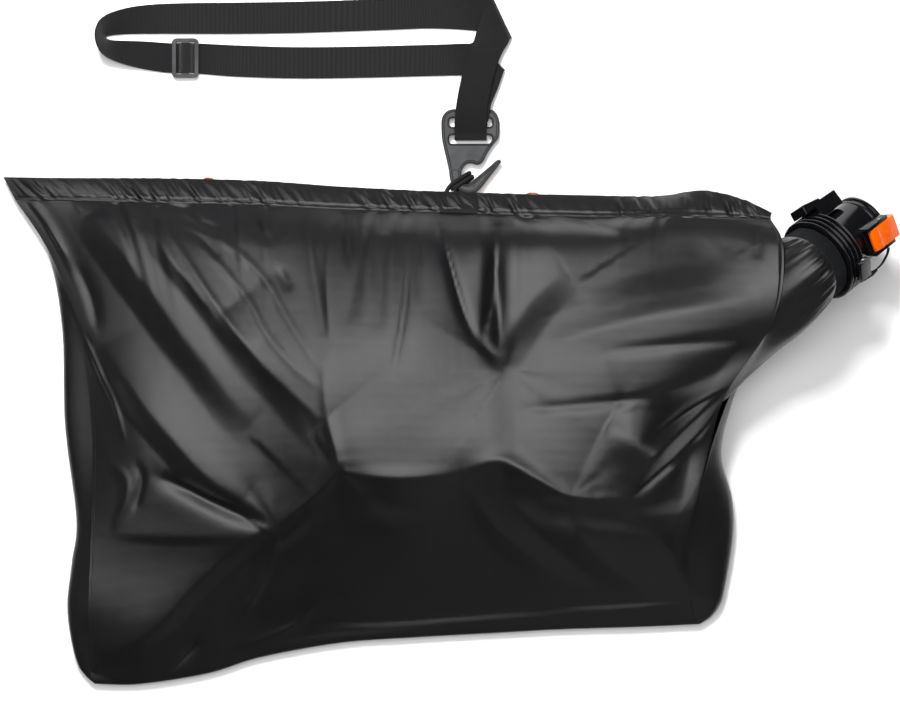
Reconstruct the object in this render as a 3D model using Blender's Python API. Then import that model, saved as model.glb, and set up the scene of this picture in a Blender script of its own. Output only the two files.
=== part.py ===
"""Collection bag of a garden blower vacuum, lying on its back panel.

A sewn nylon bag with a zip along its far edge, a fabric neck that is clamped
round a plastic connector pipe, and a webbing shoulder strap on a hook.
X runs along the bag, Y across it towards the zip, and Z up from the floor.
"""

import math

import bmesh
import bpy
import numpy as np
from mathutils import Matrix, Vector

# Driving sizes, in metres and degrees

BAG_LENGTH = 0.876
BAG_WIDTH = 0.567
BAG_DEPTH = 0.100
PANEL_WALL = 0.0010
CLEARANCE = 0.0003
SEAM_GAP = 0.0004
PLEAT_HEIGHT = 0.0022

HEM_THICKNESS = 0.0016
HEM_PUCKER = 0.0016

ZIP_START = -BAG_LENGTH / 2 + 0.010
ZIP_END = ZIP_START + BAG_LENGTH * 0.635 / 0.876
ZIP_TAPE_THICKNESS = 0.0010
ZIP_TAPE_LOW = 0.0046
ZIP_COIL_WIDTH = 0.0060
ZIP_COIL_THICKNESS = 0.0020
ZIP_SLIDER_LENGTH = 0.013
ZIP_SLIDER_WIDTH = 0.009
ZIP_PULL_LENGTH = 0.030
ZIP_PULL_WIDTH = 0.0075
ZIP_PULL_THICKNESS = 0.0014
ZIP_SLIDER_TOP = 0.0016
ZIP_STOP_LENGTH = 0.003

PIPE_RADIUS = 0.0340
PIPE_BORE_RADIUS = 0.0305
PIPE_INNER_REACH = 0.026
PIPE_OUTER_REACH = 0.077
RIM_RADIUS = 0.0360
RIM_LENGTH = 0.003
NECK_TILT = 29.0
NECK_TURN = 36.0
NECK_AT = (BAG_LENGTH * 0.402 / 0.876, BAG_WIDTH * 0.107 / 0.567)

CLAMP_RADIUS = 0.0480
CLAMP_BAND_RADIUS = CLAMP_RADIUS - 0.004
COLLAR_RADIUS = CLAMP_BAND_RADIUS - 0.004
CLAMP_LENGTH = 0.025
CLAMP_RIDGES = 4
BOSS_TURN = 42.0
BOSS_LENGTH = 0.022
SCREW_RADIUS = 0.0014
CUFF_LENGTH = 0.019
CUFF_RADIUS = PIPE_RADIUS + 0.0072
SLEEVE_WALL = 0.0012
SLEEVE_ROOT = (BAG_LENGTH * 0.322 / 0.876, BAG_WIDTH * 0.061 / 0.567, BAG_DEPTH * 0.55)
SLEEVE_ROOT_SIDE = (0.10, -0.99, -0.10)
SLEEVE_ROOT_HALF_WIDTH = BAG_WIDTH * 0.069 / 0.567
SLEEVE_ROOT_HALF_HEIGHT = BAG_DEPTH * 0.43

LATCH_TURN = 24.0
LEVER_LENGTH = 0.040
LEVER_WIDTH = 0.0245
LEVER_THICKNESS = 0.0070
LEVER_PIVOT = PIPE_OUTER_REACH - 0.014
LEVER_BOTTOM = PIPE_RADIUS + 0.0060
PIN_RADIUS = 0.0014
CHEEK_THICKNESS = 0.0040
HOUSING_FLOOR = PIPE_RADIUS + 0.0022
SPRING_RADIUS = 0.0032
SPRING_WIRE_RADIUS = 0.0004
SPRING_TURNS = 3
SPRING_AT = LEVER_PIVOT - 0.013

WEBBING_WIDTH = 0.035
WEBBING_THICKNESS = 0.0016
STRAP_SCALE = WEBBING_WIDTH / 0.035
STRAP_SHIFT = (BAG_WIDTH - 0.567 * STRAP_SCALE) * 0.32
HOOK_THICKNESS = 0.0050
HOOK_HEIGHT = 0.0024
HOOK_TILT = 1.96
HOOK_TILT_AT = 0.270
HOOK_SLOT = (0.048, 0.010)
GLIDE_AT = (-0.296, 0.3355)
GLIDE_LENGTH = 0.030
GLIDE_WIDTH = 0.044
GLIDE_THICKNESS = 0.0030
GLIDE_HEIGHT = 0.0024
GLIDE_BAR = 0.0048
GLIDE_MIDDLE_BAR = 0.0080
GLIDE_RAIL = 0.0038
EDGE_SOFTENING = 0.0006
CORD_RADIUS = 0.0022
CORD_AT = (0.0105, 0.1935)
CORD_TURN = 36.3
PATCH_COLUMNS = (34, 37)
PATCH_THICKNESS = 0.0010

# The bag's cage, in millimetres at its drawn size: x, y and height above the floor

DRAWN_SIZE = (876.0, 567.0, 100.0)

FRONT_CAGE = [
    [(-401, -350, 12), (-348, -360, 12), (-271, -348, 12), (-212, -330, 12), (-123, -314, 12),
     (-41, -308, 12), (49, -303, 12), (123, -299, 12), (212, -297, 12), (272, -292, 12)],
    [(-401, -279, 26), (-348, -292, 34), (-276, -284, 36), (-208, -273, 36), (-124, -262, 38),
     (-43, -254, 40), (45, -245, 42), (121, -245, 42), (201, -245, 38), (264, -251, 30)],
    [(-399, -224, 28), (-341, -222, 44), (-274, -227, 52), (-198, -222, 52), (-120, -188, 66),
     (-52, -190, 70), (39, -181, 70), (123, -193, 66), (202, -199, 58), (264, -206, 38)],
    [(-397, -163, 28), (-339, -145, 46), (-269, -161, 56), (-188, -179, 64), (-118, -119, 98),
     (-56, -134, 101), (32, -114, 101), (127, -145, 94), (202, -156, 80), (273, -155, 46)],
    [(-397, -80, 28), (-338, -74, 52), (-278, -81, 62), (-209, -78, 74), (-126, -47, 98),
     (-48, -47, 105), (54, -45, 98), (131, -56, 99), (214, -54, 90), (298, -48, 62)],
    [(-410, 26, 26), (-352, 31, 44), (-285, 31, 60), (-212, 30, 75), (-128, 36, 92),
     (-43, 39, 100), (54, 36, 88), (151, 36, 98), (247, 43, 110), (348, 41, 106)],
    [(-445, 116, 18), (-381, 125, 38), (-302, 124, 54), (-219, 123, 64), (-129, 123, 70),
     (-38, 123, 76), (54, 120, 74), (154, 122, 82), (258, 127, 106), (358, 116, 110)],
    [(-484, 175, 12), (-410, 174, 26), (-314, 171, 36), (-221, 169, 40), (-127, 164, 42),
     (-33, 161, 42), (55, 158, 43), (165, 155, 50), (261, 154, 76), (347, 151, 86)],
]

# Main folds of the front panel: kind, height, half width, and the line they follow, in millimetres
FRONT_FOLDS = [
    ("step", 7, 10, [(-412, 146), (-327, 31), (-272, -29), (-212, -80)]),
    ("step", 6, 10, [(-343, 151), (-294, 80), (-234, 20), (-174, -40), (-144, -73)]),
    ("step", 8, 12, [(-372, -24), (-300, -90), (-240, -140), (-195, -178)]),
    ("ridge", -12, 11, [(-188, -182), (-255, -240), (-325, -305), (-385, -336)]),
    ("ridge", 6, 9, [(-188, -178), (-150, -146), (-118, -119), (-56, -136), (32, -116)]),
    ("ridge", 6, 9, [(32, -116), (80, -124), (127, -147), (170, -147), (204, -158), (262, -152)]),
    ("ridge", -9, 15, [(30, 140), (45, 70), (56, -10)]),
    ("ridge", 4, 9, [(-14, 148), (10, 80), (33, 14)]),
    ("ridge", -8, 10, [(199, -143), (240, -108), (280, -70), (318, -31)]),
    ("ridge", -7, 10, [(207, -92), (258, -54), (312, -20)]),
    ("ridge", 6, 10, [(190, -120), (235, -86), (300, -36)]),
    ("ridge", -5, 12, [(110, -60), (180, -30), (250, -8)]),
    ("step", 6, 14, [(60, -8), (120, 66), (190, 78), (262, 82)]),
    ("ridge", -4, 9, [(-330, -140), (-270, -170), (-210, -182)]),
]

# Far edge of the hem, from the tip to the neck, in millimetres
HEM_EDGE = [
    (-499, 202, 8), (-434, 200, 20), (-315, 199, 28), (-210, 196, 31), (-127, 190, 32),
    (-33, 185, 33), (55, 182, 34), (139, 180, 36), (226, 178, 48), (275, 183, 64),
    (315, 174, 74), (349, 158, 82),
]

# Edges of the back panel as pairs: where it meets the front panel or the zip, and its outermost line
BACK_BOTTOM = [
    ((-401, -350, 12), (-396, -364, 8)), ((-348, -360, 12), (-348, -364, 7)),
    ((-271, -348, 12), (-271, -352, 7)), ((-212, -330, 12), (-212, -334, 7)),
    ((-123, -314, 12), (-123, -318, 7)), ((-41, -308, 12), (-41, -312, 7)),
    ((49, -303, 12), (49, -307, 7)), ((123, -299, 12), (123, -303, 7)),
    ((212, -297, 12), (213, -300, 7)), ((272, -292, 12), (279, -297, 8)),
]
BACK_LEFT = [
    ((-401, -350, 12), (-396, -364, 8)), ((-401, -279, 26), (-424, -288, 14)),
    ((-399, -224, 28), (-421, -228, 15)), ((-397, -163, 28), (-416, -178, 16)),
    ((-397, -80, 28), (-428, -75, 16)), ((-410, 26, 26), (-432, 35, 15)),
    ((-445, 116, 18), (-450, 120, 9)), ((-488, 184, 9), (-490, 187, 3)),
]
BACK_RIGHT = [
    ((272, -292, 12), (279, -297, 8)), ((264, -251, 30), (303, -262, 15)),
    ((264, -206, 38), (313, -200, 18)), ((273, -155, 45), (312, -155, 21)),
    ((286, -102, 52), (300, -104, 34)), ((304, -48, 59), (310, -52, 42)),
    ((322, -16, 36), (326, -16, 26)), ((338, 14, 14), (342, 14, 8)),
    ((341, 62, 8), (346, 62, 4)), ((345, 106, 14), (350, 108, 8)),
    ((350, 132, 40), (355, 136, 24)), ((346, 150, 76), (352, 154, 50)),
]
BACK_TOP = [
    ((-488, 184, 9), (-490, 187, 3)), ((-434, 188, 7), (-434, 191, 2.5)),
    ((-315, 184, 7), (-315, 187, 2.5)), ((-210, 180, 7), (-210, 183, 2.5)),
    ((-127, 177, 7), (-127, 180, 2.5)), ((-33, 173.5, 7), (-33, 177, 2.5)),
    ((55, 170.5, 7), (55, 174, 2.5)), ((139, 167.5, 7), (139, 171, 2.5)),
    ((213, 165, 7), (213, 168, 2.5)), ((236, 170, 30), (236, 172, 14)),
    ((272, 179, 60), (272, 182, 38)), ((312, 169, 68), (314, 172, 46)),
    ((346, 150, 76), (352, 154, 50)),
]

FRONT_STEPS = (48, 26)
BACK_STEPS = (28, 16)
HEM_STEPS = 60
RING_STEPS = 36
FLOOR_INSET = 0.03
SEAM_REACH = 4
MITRE_LIMIT = 0.55

ZIP_HEIGHT = 0.0145
ZIP_LINE_AT = (ZIP_START, BAG_WIDTH * 0.1909 / 0.567)
ZIP_TURN = -2.05

# Both edges of the webbing, from the glide round to its tail, in millimetres: outer x, y, z, inner x, y, z
STRAP_EDGES = [
    ((-303.3, 319, 2.7), (-303.3, 352, 2.7)),
    ((-302.8, 319, 4.4), (-302.8, 352, 4.4)),
    ((-301.4, 319, 6.3), (-301.4, 352, 6.3)),
    ((-298, 319, 7.0), (-298, 352, 7.0)),
    ((-294, 319, 7.0), (-294, 352, 7.0)),
    ((-290.6, 319, 6.3), (-290.6, 352, 6.3)),
    ((-289.3, 319, 4.4), (-289.3, 352, 4.4)),
    ((-288.6, 319, 2.7), (-288.6, 352, 2.7)),
    ((-287.1, 319, 1.4), (-287.1, 352, 1.4)),
    ((-284, 318, 0.9), (-284, 352, 0.9)),
    ((-278, 318, 0.9), (-278, 352, 0.9)),
    ((-238, 315, 0.9), (-238, 350, 0.9)),
    ((-168, 313, 0.9), (-168, 348, 0.9)),
    ((-89, 314, 0.9), (-89, 349, 0.9)),
    ((-11, 316, 0.9), (-11, 351, 0.9)),
    ((30, 317, 0.9), (14, 352, 0.9)),
    ((56, 320.5, 1.0), (22, 352, 1.0)),
    ((60, 321, 1.3), (26, 353.6, 1.3)),
    ((61, 321.3, 2.9), (27, 354.3, 2.9)),
    ((60, 320, 4.5), (26, 353, 4.5)),
    ((53, 300, 5.0), (17, 321, 5.0)),
    ((47, 286, 7.2), (11, 293, 6.6)),
    ((45, 278, 9.0), (8, 279, 9.0)),
    ((44, 270, 9.1), (8, 270, 9.1)),
    ((43, 266, 8.3), (8, 266, 8.3)),
    ((42, 263.9, 5.8), (8, 263.9, 5.8)),
    ((42, 262.2, 3.4), (8, 262.2, 3.4)),
    ((42, 260.2, 1.7), (7, 260.2, 1.7)),
    ((41, 257, 1.15), (6, 257, 1.15)),
    ((41, 250.5, 1.15), (6, 250.5, 1.15)),
    ((41, 247, 1.5), (6, 247, 1.5)),
    ((41, 244.8, 3.0), (6, 244.8, 3.0)),
    ((41, 243.8, 5.4), (6, 243.8, 5.4)),
    ((41, 244.8, 8.0), (5, 244.8, 8.0)),
    ((41, 247.5, 9.6), (5, 247.5, 9.6)),
    ((41, 252, 10.3), (5, 252, 10.3)),
    ((41, 262, 11.0), (5, 262, 11.0)),
    ((41, 274, 11.2), (6, 274, 11.2)),
    ((43, 288, 10.2), (8, 289, 10.2)),
    ((46, 303, 8.8), (11, 305, 8.8)),
    ((51, 322, 7.4), (16, 326, 7.4)),
    ((58, 340, 6.4), (24, 347, 6.6)),
    ((65, 352, 5.2), (36, 384, 5.2)),
    ((67.5, 357.5, 4.5), (44, 405, 4.5)),
    ((68.6, 358, 2.9), (45.6, 406.3, 2.9)),
    ((67.5, 358.5, 1.3), (44.2, 405.6, 1.3)),
    ((58, 361, 0.9), (38, 404.6, 0.9)),
    ((42, 364, 0.9), (29, 404, 0.9)),
    ((22, 367, 0.9), (14, 403, 0.9)),
    ((-22, 369, 0.9), (-25, 405, 0.9)),
    ((-78, 367, 0.9), (-78, 402, 0.9)),
    ((-168, 364, 0.9), (-168, 399, 0.9)),
    ((-235, 363, 0.9), (-235, 398, 0.9)),
    ((-305, 363, 0.9), (-305, 397, 1.8)),
    ((-345, 363, 0.9), (-346, 394, 5.0)),
    ((-367, 362.5, 1.1), (-370, 388, 11.0)),
    ((-379, 361.5, 1.4), (-386, 379, 19.0)),
    ((-385, 360, 1.6), (-393, 366, 24.0)),
    ((-385, 357.5, 1.6), (-393, 351, 23.0)),
    ((-379, 355.5, 1.4), (-386, 338, 17.0)),
    ((-367, 355, 1.1), (-370, 330, 9.0)),
    ((-344, 354.5, 0.9), (-346, 324, 3.0)),
    ((-322, 353, 0.9), (-322, 320, 0.9)),
    ((-307, 352, 0.9), (-307, 319, 0.9)),
    ((-297, 352, 0.9), (-297, 319, 0.9)),
]

# Outline of the hook, seen from above, in millimetres
HOOK_OUTLINE = [
    (-6, 275), (-10, 266), (-9, 246), (-6, 235), (-1, 210), (1, 197), (6, 190), (13, 184.5),
    (22, 183), (32, 186), (57, 219), (53, 222), (31, 203), (25, 196), (18, 194), (13, 199),
    (13, 209), (18, 216), (24, 217), (31, 215), (37, 219), (46, 235), (55, 246), (55, 266),
    (49, 275), (38, 278), (7, 278),
]
HOOK_SLOTS = [(23, 263), (23, 244)]

# Middle line of the cord, in millimetres: across the hook's lower bar, along the bar, and height
CORD_LINE = [
    (-18.0, 0.5, 31.0), (-17.4, 0.9, 26.5), (-14.3, 2.8, 20.7), (-10.3, 4.5, 16.0), (-5.7, 5.2, 13.7),
    (0, 5.0, 13.0), (6, 4.8, 12.8), (11.6, 4.5, 11.3), (15.8, 4.2, 8.5), (17.0, 3.8, 5.9),
    (16.0, 3.5, 3.5), (13.4, 3.1, 2.5), (5.7, 2.7, 2.5), (0, 2.4, 2.5), (-5.7, 2.0, 2.6),
    (-8.1, 1.7, 3.6), (-9.1, 1.4, 6.0), (-9.1, 1.0, 10.0), (-8.1, 0.7, 12.4), (-5.7, 0.3, 13.4),
    (0, 0, 13.0), (6, -0.3, 12.8), (11.6, -0.6, 11.3), (15.8, -0.9, 8.5), (17.0, -1.3, 5.9),
    (16.0, -1.6, 3.5), (13.4, -2.0, 2.5), (5.7, -2.4, 2.5), (0, -2.7, 2.5), (-5.7, -3.4, 2.6),
    (-8.1, -4.1, 3.6), (-9.0, -4.5, 6.0), (-9.0, -4.8, 10.0), (-8.7, -5.1, 14.5), (-8.9, -5.7, 19.5),
    (-9.6, -6.0, 25.0), (-9.8, -6.3, 28.0), (-9.8, -6.4, 31.0),
]

COLOURS = {
    "nylon": ((0.022, 0.022, 0.024), 0.50, 0.0),
    "webbing": ((0.030, 0.030, 0.031), 0.85, 0.0),
    "black_plastic": ((0.012, 0.012, 0.013), 0.25, 0.0),
    "grey_plastic": ((0.095, 0.095, 0.100), 0.45, 0.0),
    "orange": ((0.90, 0.165, 0.005), 0.30, 0.0),
    "elastic": ((0.022, 0.023, 0.026), 0.80, 0.0),
    "steel": ((0.62, 0.62, 0.60), 0.25, 1.0),
}


def clear_scene():
    for thing in list(bpy.data.objects):
        bpy.data.objects.remove(thing, do_unlink=True)


def material(name, finish):
    colour, roughness, metallic = COLOURS[finish]
    made = bpy.data.materials.new(name + "_finish")
    made.use_nodes = True
    shader = made.node_tree.nodes["Principled BSDF"]
    shader.inputs["Base Color"].default_value = (*colour, 1.0)
    shader.inputs["Roughness"].default_value = roughness
    shader.inputs["Metallic"].default_value = metallic
    return made


def add_object(name, mesh, finish, parent=None, sharp=35.0):
    mesh.shade_smooth()
    mesh.set_sharp_from_angle(angle=math.radians(sharp))
    made = bpy.data.objects.new(name, mesh)
    made.data.materials.append(material(name, finish))
    bpy.context.scene.collection.objects.link(made)
    made.parent = parent
    return made


def add_closed(name, points, faces, finish, parent=None, sharp=35.0):
    """One closed mesh with its faces turned outwards."""
    mesh = bpy.data.meshes.new(name)
    mesh.from_pydata([tuple(point) for point in points], [], faces)
    work = bmesh.new()
    work.from_mesh(mesh)
    bmesh.ops.recalc_face_normals(work, faces=work.faces)
    work.to_mesh(mesh)
    work.free()
    return add_object(name, mesh, finish, parent, sharp)


def add_empty(name, matrix, parent=None):
    made = bpy.data.objects.new(name, None)
    bpy.context.scene.collection.objects.link(made)
    made.parent = parent
    made.matrix_local = matrix
    return made


def curve_through(points, at):
    """Points of the smooth curve through the given ones, at positions counted in points."""
    points = np.asarray(points, float)
    last = len(points) - 1
    first = np.clip(np.floor(at).astype(int), 0, last - 1)
    part = (np.asarray(at) - first)[:, None]
    before = points[np.maximum(first - 1, 0)]
    start = points[first]
    end = points[first + 1]
    after = points[np.minimum(first + 2, last)]
    out_slope = (end - before) / 2
    in_slope = (after - start) / 2
    return (
        (2 * part**3 - 3 * part**2 + 1) * start
        + (part**3 - 2 * part**2 + part) * out_slope
        + (3 * part**2 - 2 * part**3) * end
        + (part**3 - part**2) * in_slope
    )


def even_curve(points, count):
    """The smooth curve again, cut into equal lengths."""
    dense = curve_through(points, np.linspace(0, len(points) - 1, 24 * len(points)))
    run = np.concatenate([[0.0], np.cumsum(np.linalg.norm(np.diff(dense, axis=0), axis=1))])
    wanted = np.linspace(0, run[-1], count)
    return np.stack([np.interp(wanted, run, dense[:, axis]) for axis in range(3)], axis=1)


def bag_scale(points):
    """Millimetres of the drawn bag, in metres of this one."""
    size = np.array([BAG_LENGTH, BAG_WIDTH, BAG_DEPTH]) / np.array(DRAWN_SIZE)
    return np.asarray(points, float) * size


def cage_surface(cage, across, along):
    """The smooth surface through the cage, as a grid of points."""
    rows = np.array(
        [curve_through(row, np.linspace(0, len(row) - 1, across + 1)) for row in cage]
    )
    wanted = np.linspace(0, len(cage) - 1, along + 1)
    return np.stack(
        [curve_through(rows[:, i], wanted) for i in range(across + 1)], axis=0
    )


def fold_height(x, y, kind, height, half_width, line):
    """Height that one fold adds at each place: a ridge, a valley, or a step up to its left."""
    best = np.full(x.shape, np.inf)
    side = np.zeros(x.shape)
    along = np.zeros(x.shape)
    ends = np.array(line, float)
    steps = np.linalg.norm(np.diff(ends, axis=0), axis=1)
    run = np.concatenate([[0.0], np.cumsum(steps)])
    for i, length in enumerate(steps):
        way = (ends[i + 1] - ends[i]) / length
        offset_x, offset_y = x - ends[i, 0], y - ends[i, 1]
        reach = np.clip(offset_x * way[0] + offset_y * way[1], 0, length)
        gap = np.hypot(offset_x - reach * way[0], offset_y - reach * way[1])
        nearer = gap < best
        best = np.where(nearer, gap, best)
        side = np.where(nearer, way[0] * offset_y - way[1] * offset_x, side)
        along = np.where(nearer, (run[i] + reach) / run[-1], along)
    taper = np.sin(np.pi * np.clip(along, 0.02, 0.98)) ** 0.5
    if kind == "step":
        return (
            height * taper * np.tanh(np.sign(side) * best / half_width)
            * np.exp(-((best / (3.5 * half_width)) ** 2))
        )
    return height * taper * np.exp(-((best / half_width) ** 1.5))


def grid_normals(grid):
    """Unit normals of a grid of points, by the right hand from its first way to its second."""
    first = np.gradient(grid, axis=0)
    second = np.gradient(grid, axis=1)
    normals = np.cross(first, second)
    return normals / np.maximum(np.linalg.norm(normals, axis=2, keepdims=True), 1e-12)


def sheet(name, outer, inner, finish, parent=None, around=False, sharp=60.0):
    """A closed sheet between two grids; around closes its first way into a ring."""
    count, rows = outer.shape[:2]
    points = np.concatenate([outer.reshape(-1, 3), inner.reshape(-1, 3)])
    shift = count * rows

    def index(i, j):
        return (i % count) * rows + j

    faces = []
    for i in range(count if around else count - 1):
        for j in range(rows - 1):
            a, b, c, d = index(i, j), index(i + 1, j), index(i + 1, j + 1), index(i, j + 1)
            for corners in ((a, b, c), (a, c, d)):
                faces.append(corners)
                faces.append([shift + k for k in reversed(corners)])
        for j in (0, rows - 1):
            a, b = index(i, j), index(i + 1, j)
            faces.append([a, b, shift + b, shift + a])
    if not around:
        for j in range(rows - 1):
            for i in (0, count - 1):
                a, b = index(i, j), index(i, j + 1)
                faces.append([a, b, shift + b, shift + a])
    return add_closed(name, points, faces, finish, parent, sharp)


def turned(name, profile, finish, parent, steps=40, sharp=35.0):
    """A ring turned about Z from a closed profile of radius and height."""
    count = len(profile)
    points = [
        (radius * math.cos(turn), radius * math.sin(turn), height)
        for turn in (2 * math.pi * k / steps for k in range(steps))
        for radius, height in profile
    ]
    faces = [
        [
            k * count + j,
            k * count + (j + 1) % count,
            ((k + 1) % steps) * count + (j + 1) % count,
            ((k + 1) % steps) * count + j,
        ]
        for k in range(steps)
        for j in range(count)
    ]
    return add_closed(name, points, faces, finish, parent, sharp)


def prism(name, outline, low, high, finish, parent, axes=(0, 1, 2), sharp=35.0):
    """An outline pushed from low to high; axes says which coordinates the outline and the push use."""
    count = len(outline)
    points = []
    for height in (low, high):
        for first, second in outline:
            point = [0.0, 0.0, 0.0]
            point[axes[0]], point[axes[1]], point[axes[2]] = first, second, height
            points.append(point)
    faces = [list(range(count)), list(range(count, 2 * count))]
    faces += [[j, (j + 1) % count, count + (j + 1) % count, count + j] for j in range(count)]
    return add_closed(name, points, faces, finish, parent, sharp)


def box_outline(low, high):
    return [(low[0], low[1]), (high[0], low[1]), (high[0], high[1]), (low[0], high[1])]


def rounded_outline(middle, size, radius, steps=3):
    """A rectangle with round corners, anticlockwise."""
    points = []
    for quarter, (way_x, way_y) in enumerate([(1, 1), (-1, 1), (-1, -1), (1, -1)]):
        centre_x = middle[0] + way_x * (size[0] / 2 - radius)
        centre_y = middle[1] + way_y * (size[1] / 2 - radius)
        for k in range(steps + 1):
            turn = math.pi / 2 * (quarter + k / steps)
            points.append((centre_x + radius * math.cos(turn), centre_y + radius * math.sin(turn)))
    return points


def cut(target, cutter):
    cutter.hide_render = True
    cutter.display_type = "WIRE"
    change = target.modifiers.new("cut", "BOOLEAN")
    change.operation = "DIFFERENCE"
    change.object = cutter


def soften(target, width):
    change = target.modifiers.new("soften", "BEVEL")
    change.width = width
    change.segments = 1
    change.limit_method = "ANGLE"
    change.angle_limit = math.radians(40)


def rod(name, radius, start, end, finish, parent, steps=16):
    """A plain round bar from one point to the other."""
    start, end = Vector(start), Vector(end)
    work = bmesh.new()
    turn = (end - start).to_track_quat("Z", "Y").to_matrix().to_4x4()
    place = Matrix.Translation((start + end) / 2) @ turn
    bmesh.ops.create_cone(
        work, cap_ends=True, segments=steps, radius1=radius, radius2=radius,
        depth=(end - start).length, matrix=place,
    )
    mesh = bpy.data.meshes.new(name)
    work.to_mesh(mesh)
    work.free()
    return add_object(name, mesh, finish, parent)


def tube(name, points, radius, finish, parent, sides=2):
    """A round cord along the points."""
    path = bpy.data.curves.new(name, "CURVE")
    path.dimensions = "3D"
    path.bevel_depth = radius
    path.bevel_resolution = sides
    path.use_fill_caps = True
    line = path.splines.new("POLY")
    line.points.add(len(points) - 1)
    for spot, point in zip(line.points, points):
        spot.co = (*point, 1.0)
    made = bpy.data.objects.new(name, path)
    made.data.materials.append(material(name, finish))
    bpy.context.scene.collection.objects.link(made)
    made.parent = parent
    return made


def ribbon(name, edges, thickness, finish, parent, between=2):
    """A flat strip through pairs of edge points, with its thickness shared by both sides."""
    wanted = np.linspace(0, len(edges) - 1, (len(edges) - 1) * between + 1)
    first = curve_through([pair[0] for pair in edges], wanted)
    second = curve_through([pair[1] for pair in edges], wanted)
    grid = np.stack([first, second], axis=1)
    way = np.gradient(grid, axis=0)
    across = (second - first)[:, None, :]
    normals = np.cross(way, np.repeat(across, 2, axis=1))
    normals /= np.linalg.norm(normals, axis=2, keepdims=True)
    half = normals * thickness / 2
    return sheet(name, grid + half, grid - half, finish, parent)


def front_grid(across, along):
    """Outer surface of the front panel: the cage, its folds, and the pleats under the hem."""
    grid = cage_surface(FRONT_CAGE, across, along)
    x, y = grid[..., 0], grid[..., 1]
    rows = np.linspace(0, 1, along + 1)[None, :]
    columns = np.linspace(0, 1, across + 1)[:, None]
    free = np.clip(np.minimum(np.minimum(rows, 1 - rows) * 9, np.minimum(columns, 1 - columns) * 14), 0, 1)
    lift = sum(fold_height(x, y, *fold) for fold in FRONT_FOLDS)
    grid[..., 2] += lift * free
    grid = bag_scale(grid)
    pleat_zone = np.clip((rows - 0.72) / 0.2, 0, 1) * np.clip((1 - rows) / 0.06, 0, 1)
    pleats = np.sin(columns * 2 * math.pi * 15) * np.sin(columns * 2 * math.pi * 4 + 1)
    grid[..., 2] += PLEAT_HEIGHT * pleat_zone * pleats * np.clip(columns * (1 - columns) * 12, 0, 1)
    return grid


def front_panel(root):
    outer = front_grid(*FRONT_STEPS)
    inward = -grid_normals(outer)
    for edge in (inward[0], inward[-1], inward[:, 0], inward[:, -1]):
        edge[:] = (0, 0, -1)
    sheet("front_panel", outer, outer + inward * PANEL_WALL, "nylon", root)


def edge_pair(pairs, count):
    """Both lines of a back panel edge, each at count + 1 places."""
    wanted = np.linspace(0, len(pairs) - 1, count + 1)
    seam = bag_scale(curve_through([pair[0] for pair in pairs], wanted))
    rim = bag_scale(curve_through([pair[1] for pair in pairs], wanted))
    return seam, rim


def coons(bottom, right, top, left):
    """A grid that fills the space between four edge lines."""
    across, along = len(bottom) - 1, len(left) - 1
    u = np.linspace(0, 1, across + 1)[:, None, None]
    v = np.linspace(0, 1, along + 1)[None, :, None]
    ruled = (
        (1 - v) * bottom[:, None] + v * top[:, None]
        + (1 - u) * left[None, :] + u * right[None, :]
    )
    corners = (
        (1 - u) * (1 - v) * bottom[0] + u * (1 - v) * bottom[-1]
        + (1 - u) * v * top[0] + u * v * top[-1]
    )
    return ruled - corners


def sample_grid(grid, u, v):
    """The grid read at shares u and v of its two ways."""
    at_u = u * (grid.shape[0] - 1)
    at_v = v * (grid.shape[1] - 1)
    i = np.clip(np.floor(at_u).astype(int), 0, grid.shape[0] - 2)
    j = np.clip(np.floor(at_v).astype(int), 0, grid.shape[1] - 2)
    s, t = (at_u - i)[..., None], (at_v - j)[..., None]
    return (
        (1 - s) * (1 - t) * grid[i, j] + s * (1 - t) * grid[i + 1, j]
        + (1 - s) * t * grid[i, j + 1] + s * t * grid[i + 1, j + 1]
    )


def edge_share(step, count, ring):
    """Share of an edge at each step when its first steps, up to the ring, lie on its end."""
    from_end = np.minimum(step, count - step)
    squeezed = np.maximum(from_end - ring, 0) * SEAM_REACH / (SEAM_REACH - ring)
    share = np.where(from_end >= SEAM_REACH, from_end, squeezed) / count
    return np.where(step <= count / 2, share, 1 - share)


def plan_normals(grid, way):
    """Unit vectors in plan, square to one way of a grid of points."""
    along = np.gradient(grid, axis=way)
    square = np.stack([-along[..., 1], along[..., 0], np.zeros(along.shape[:2])], axis=2)
    return square / np.linalg.norm(square, axis=2, keepdims=True)


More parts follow.
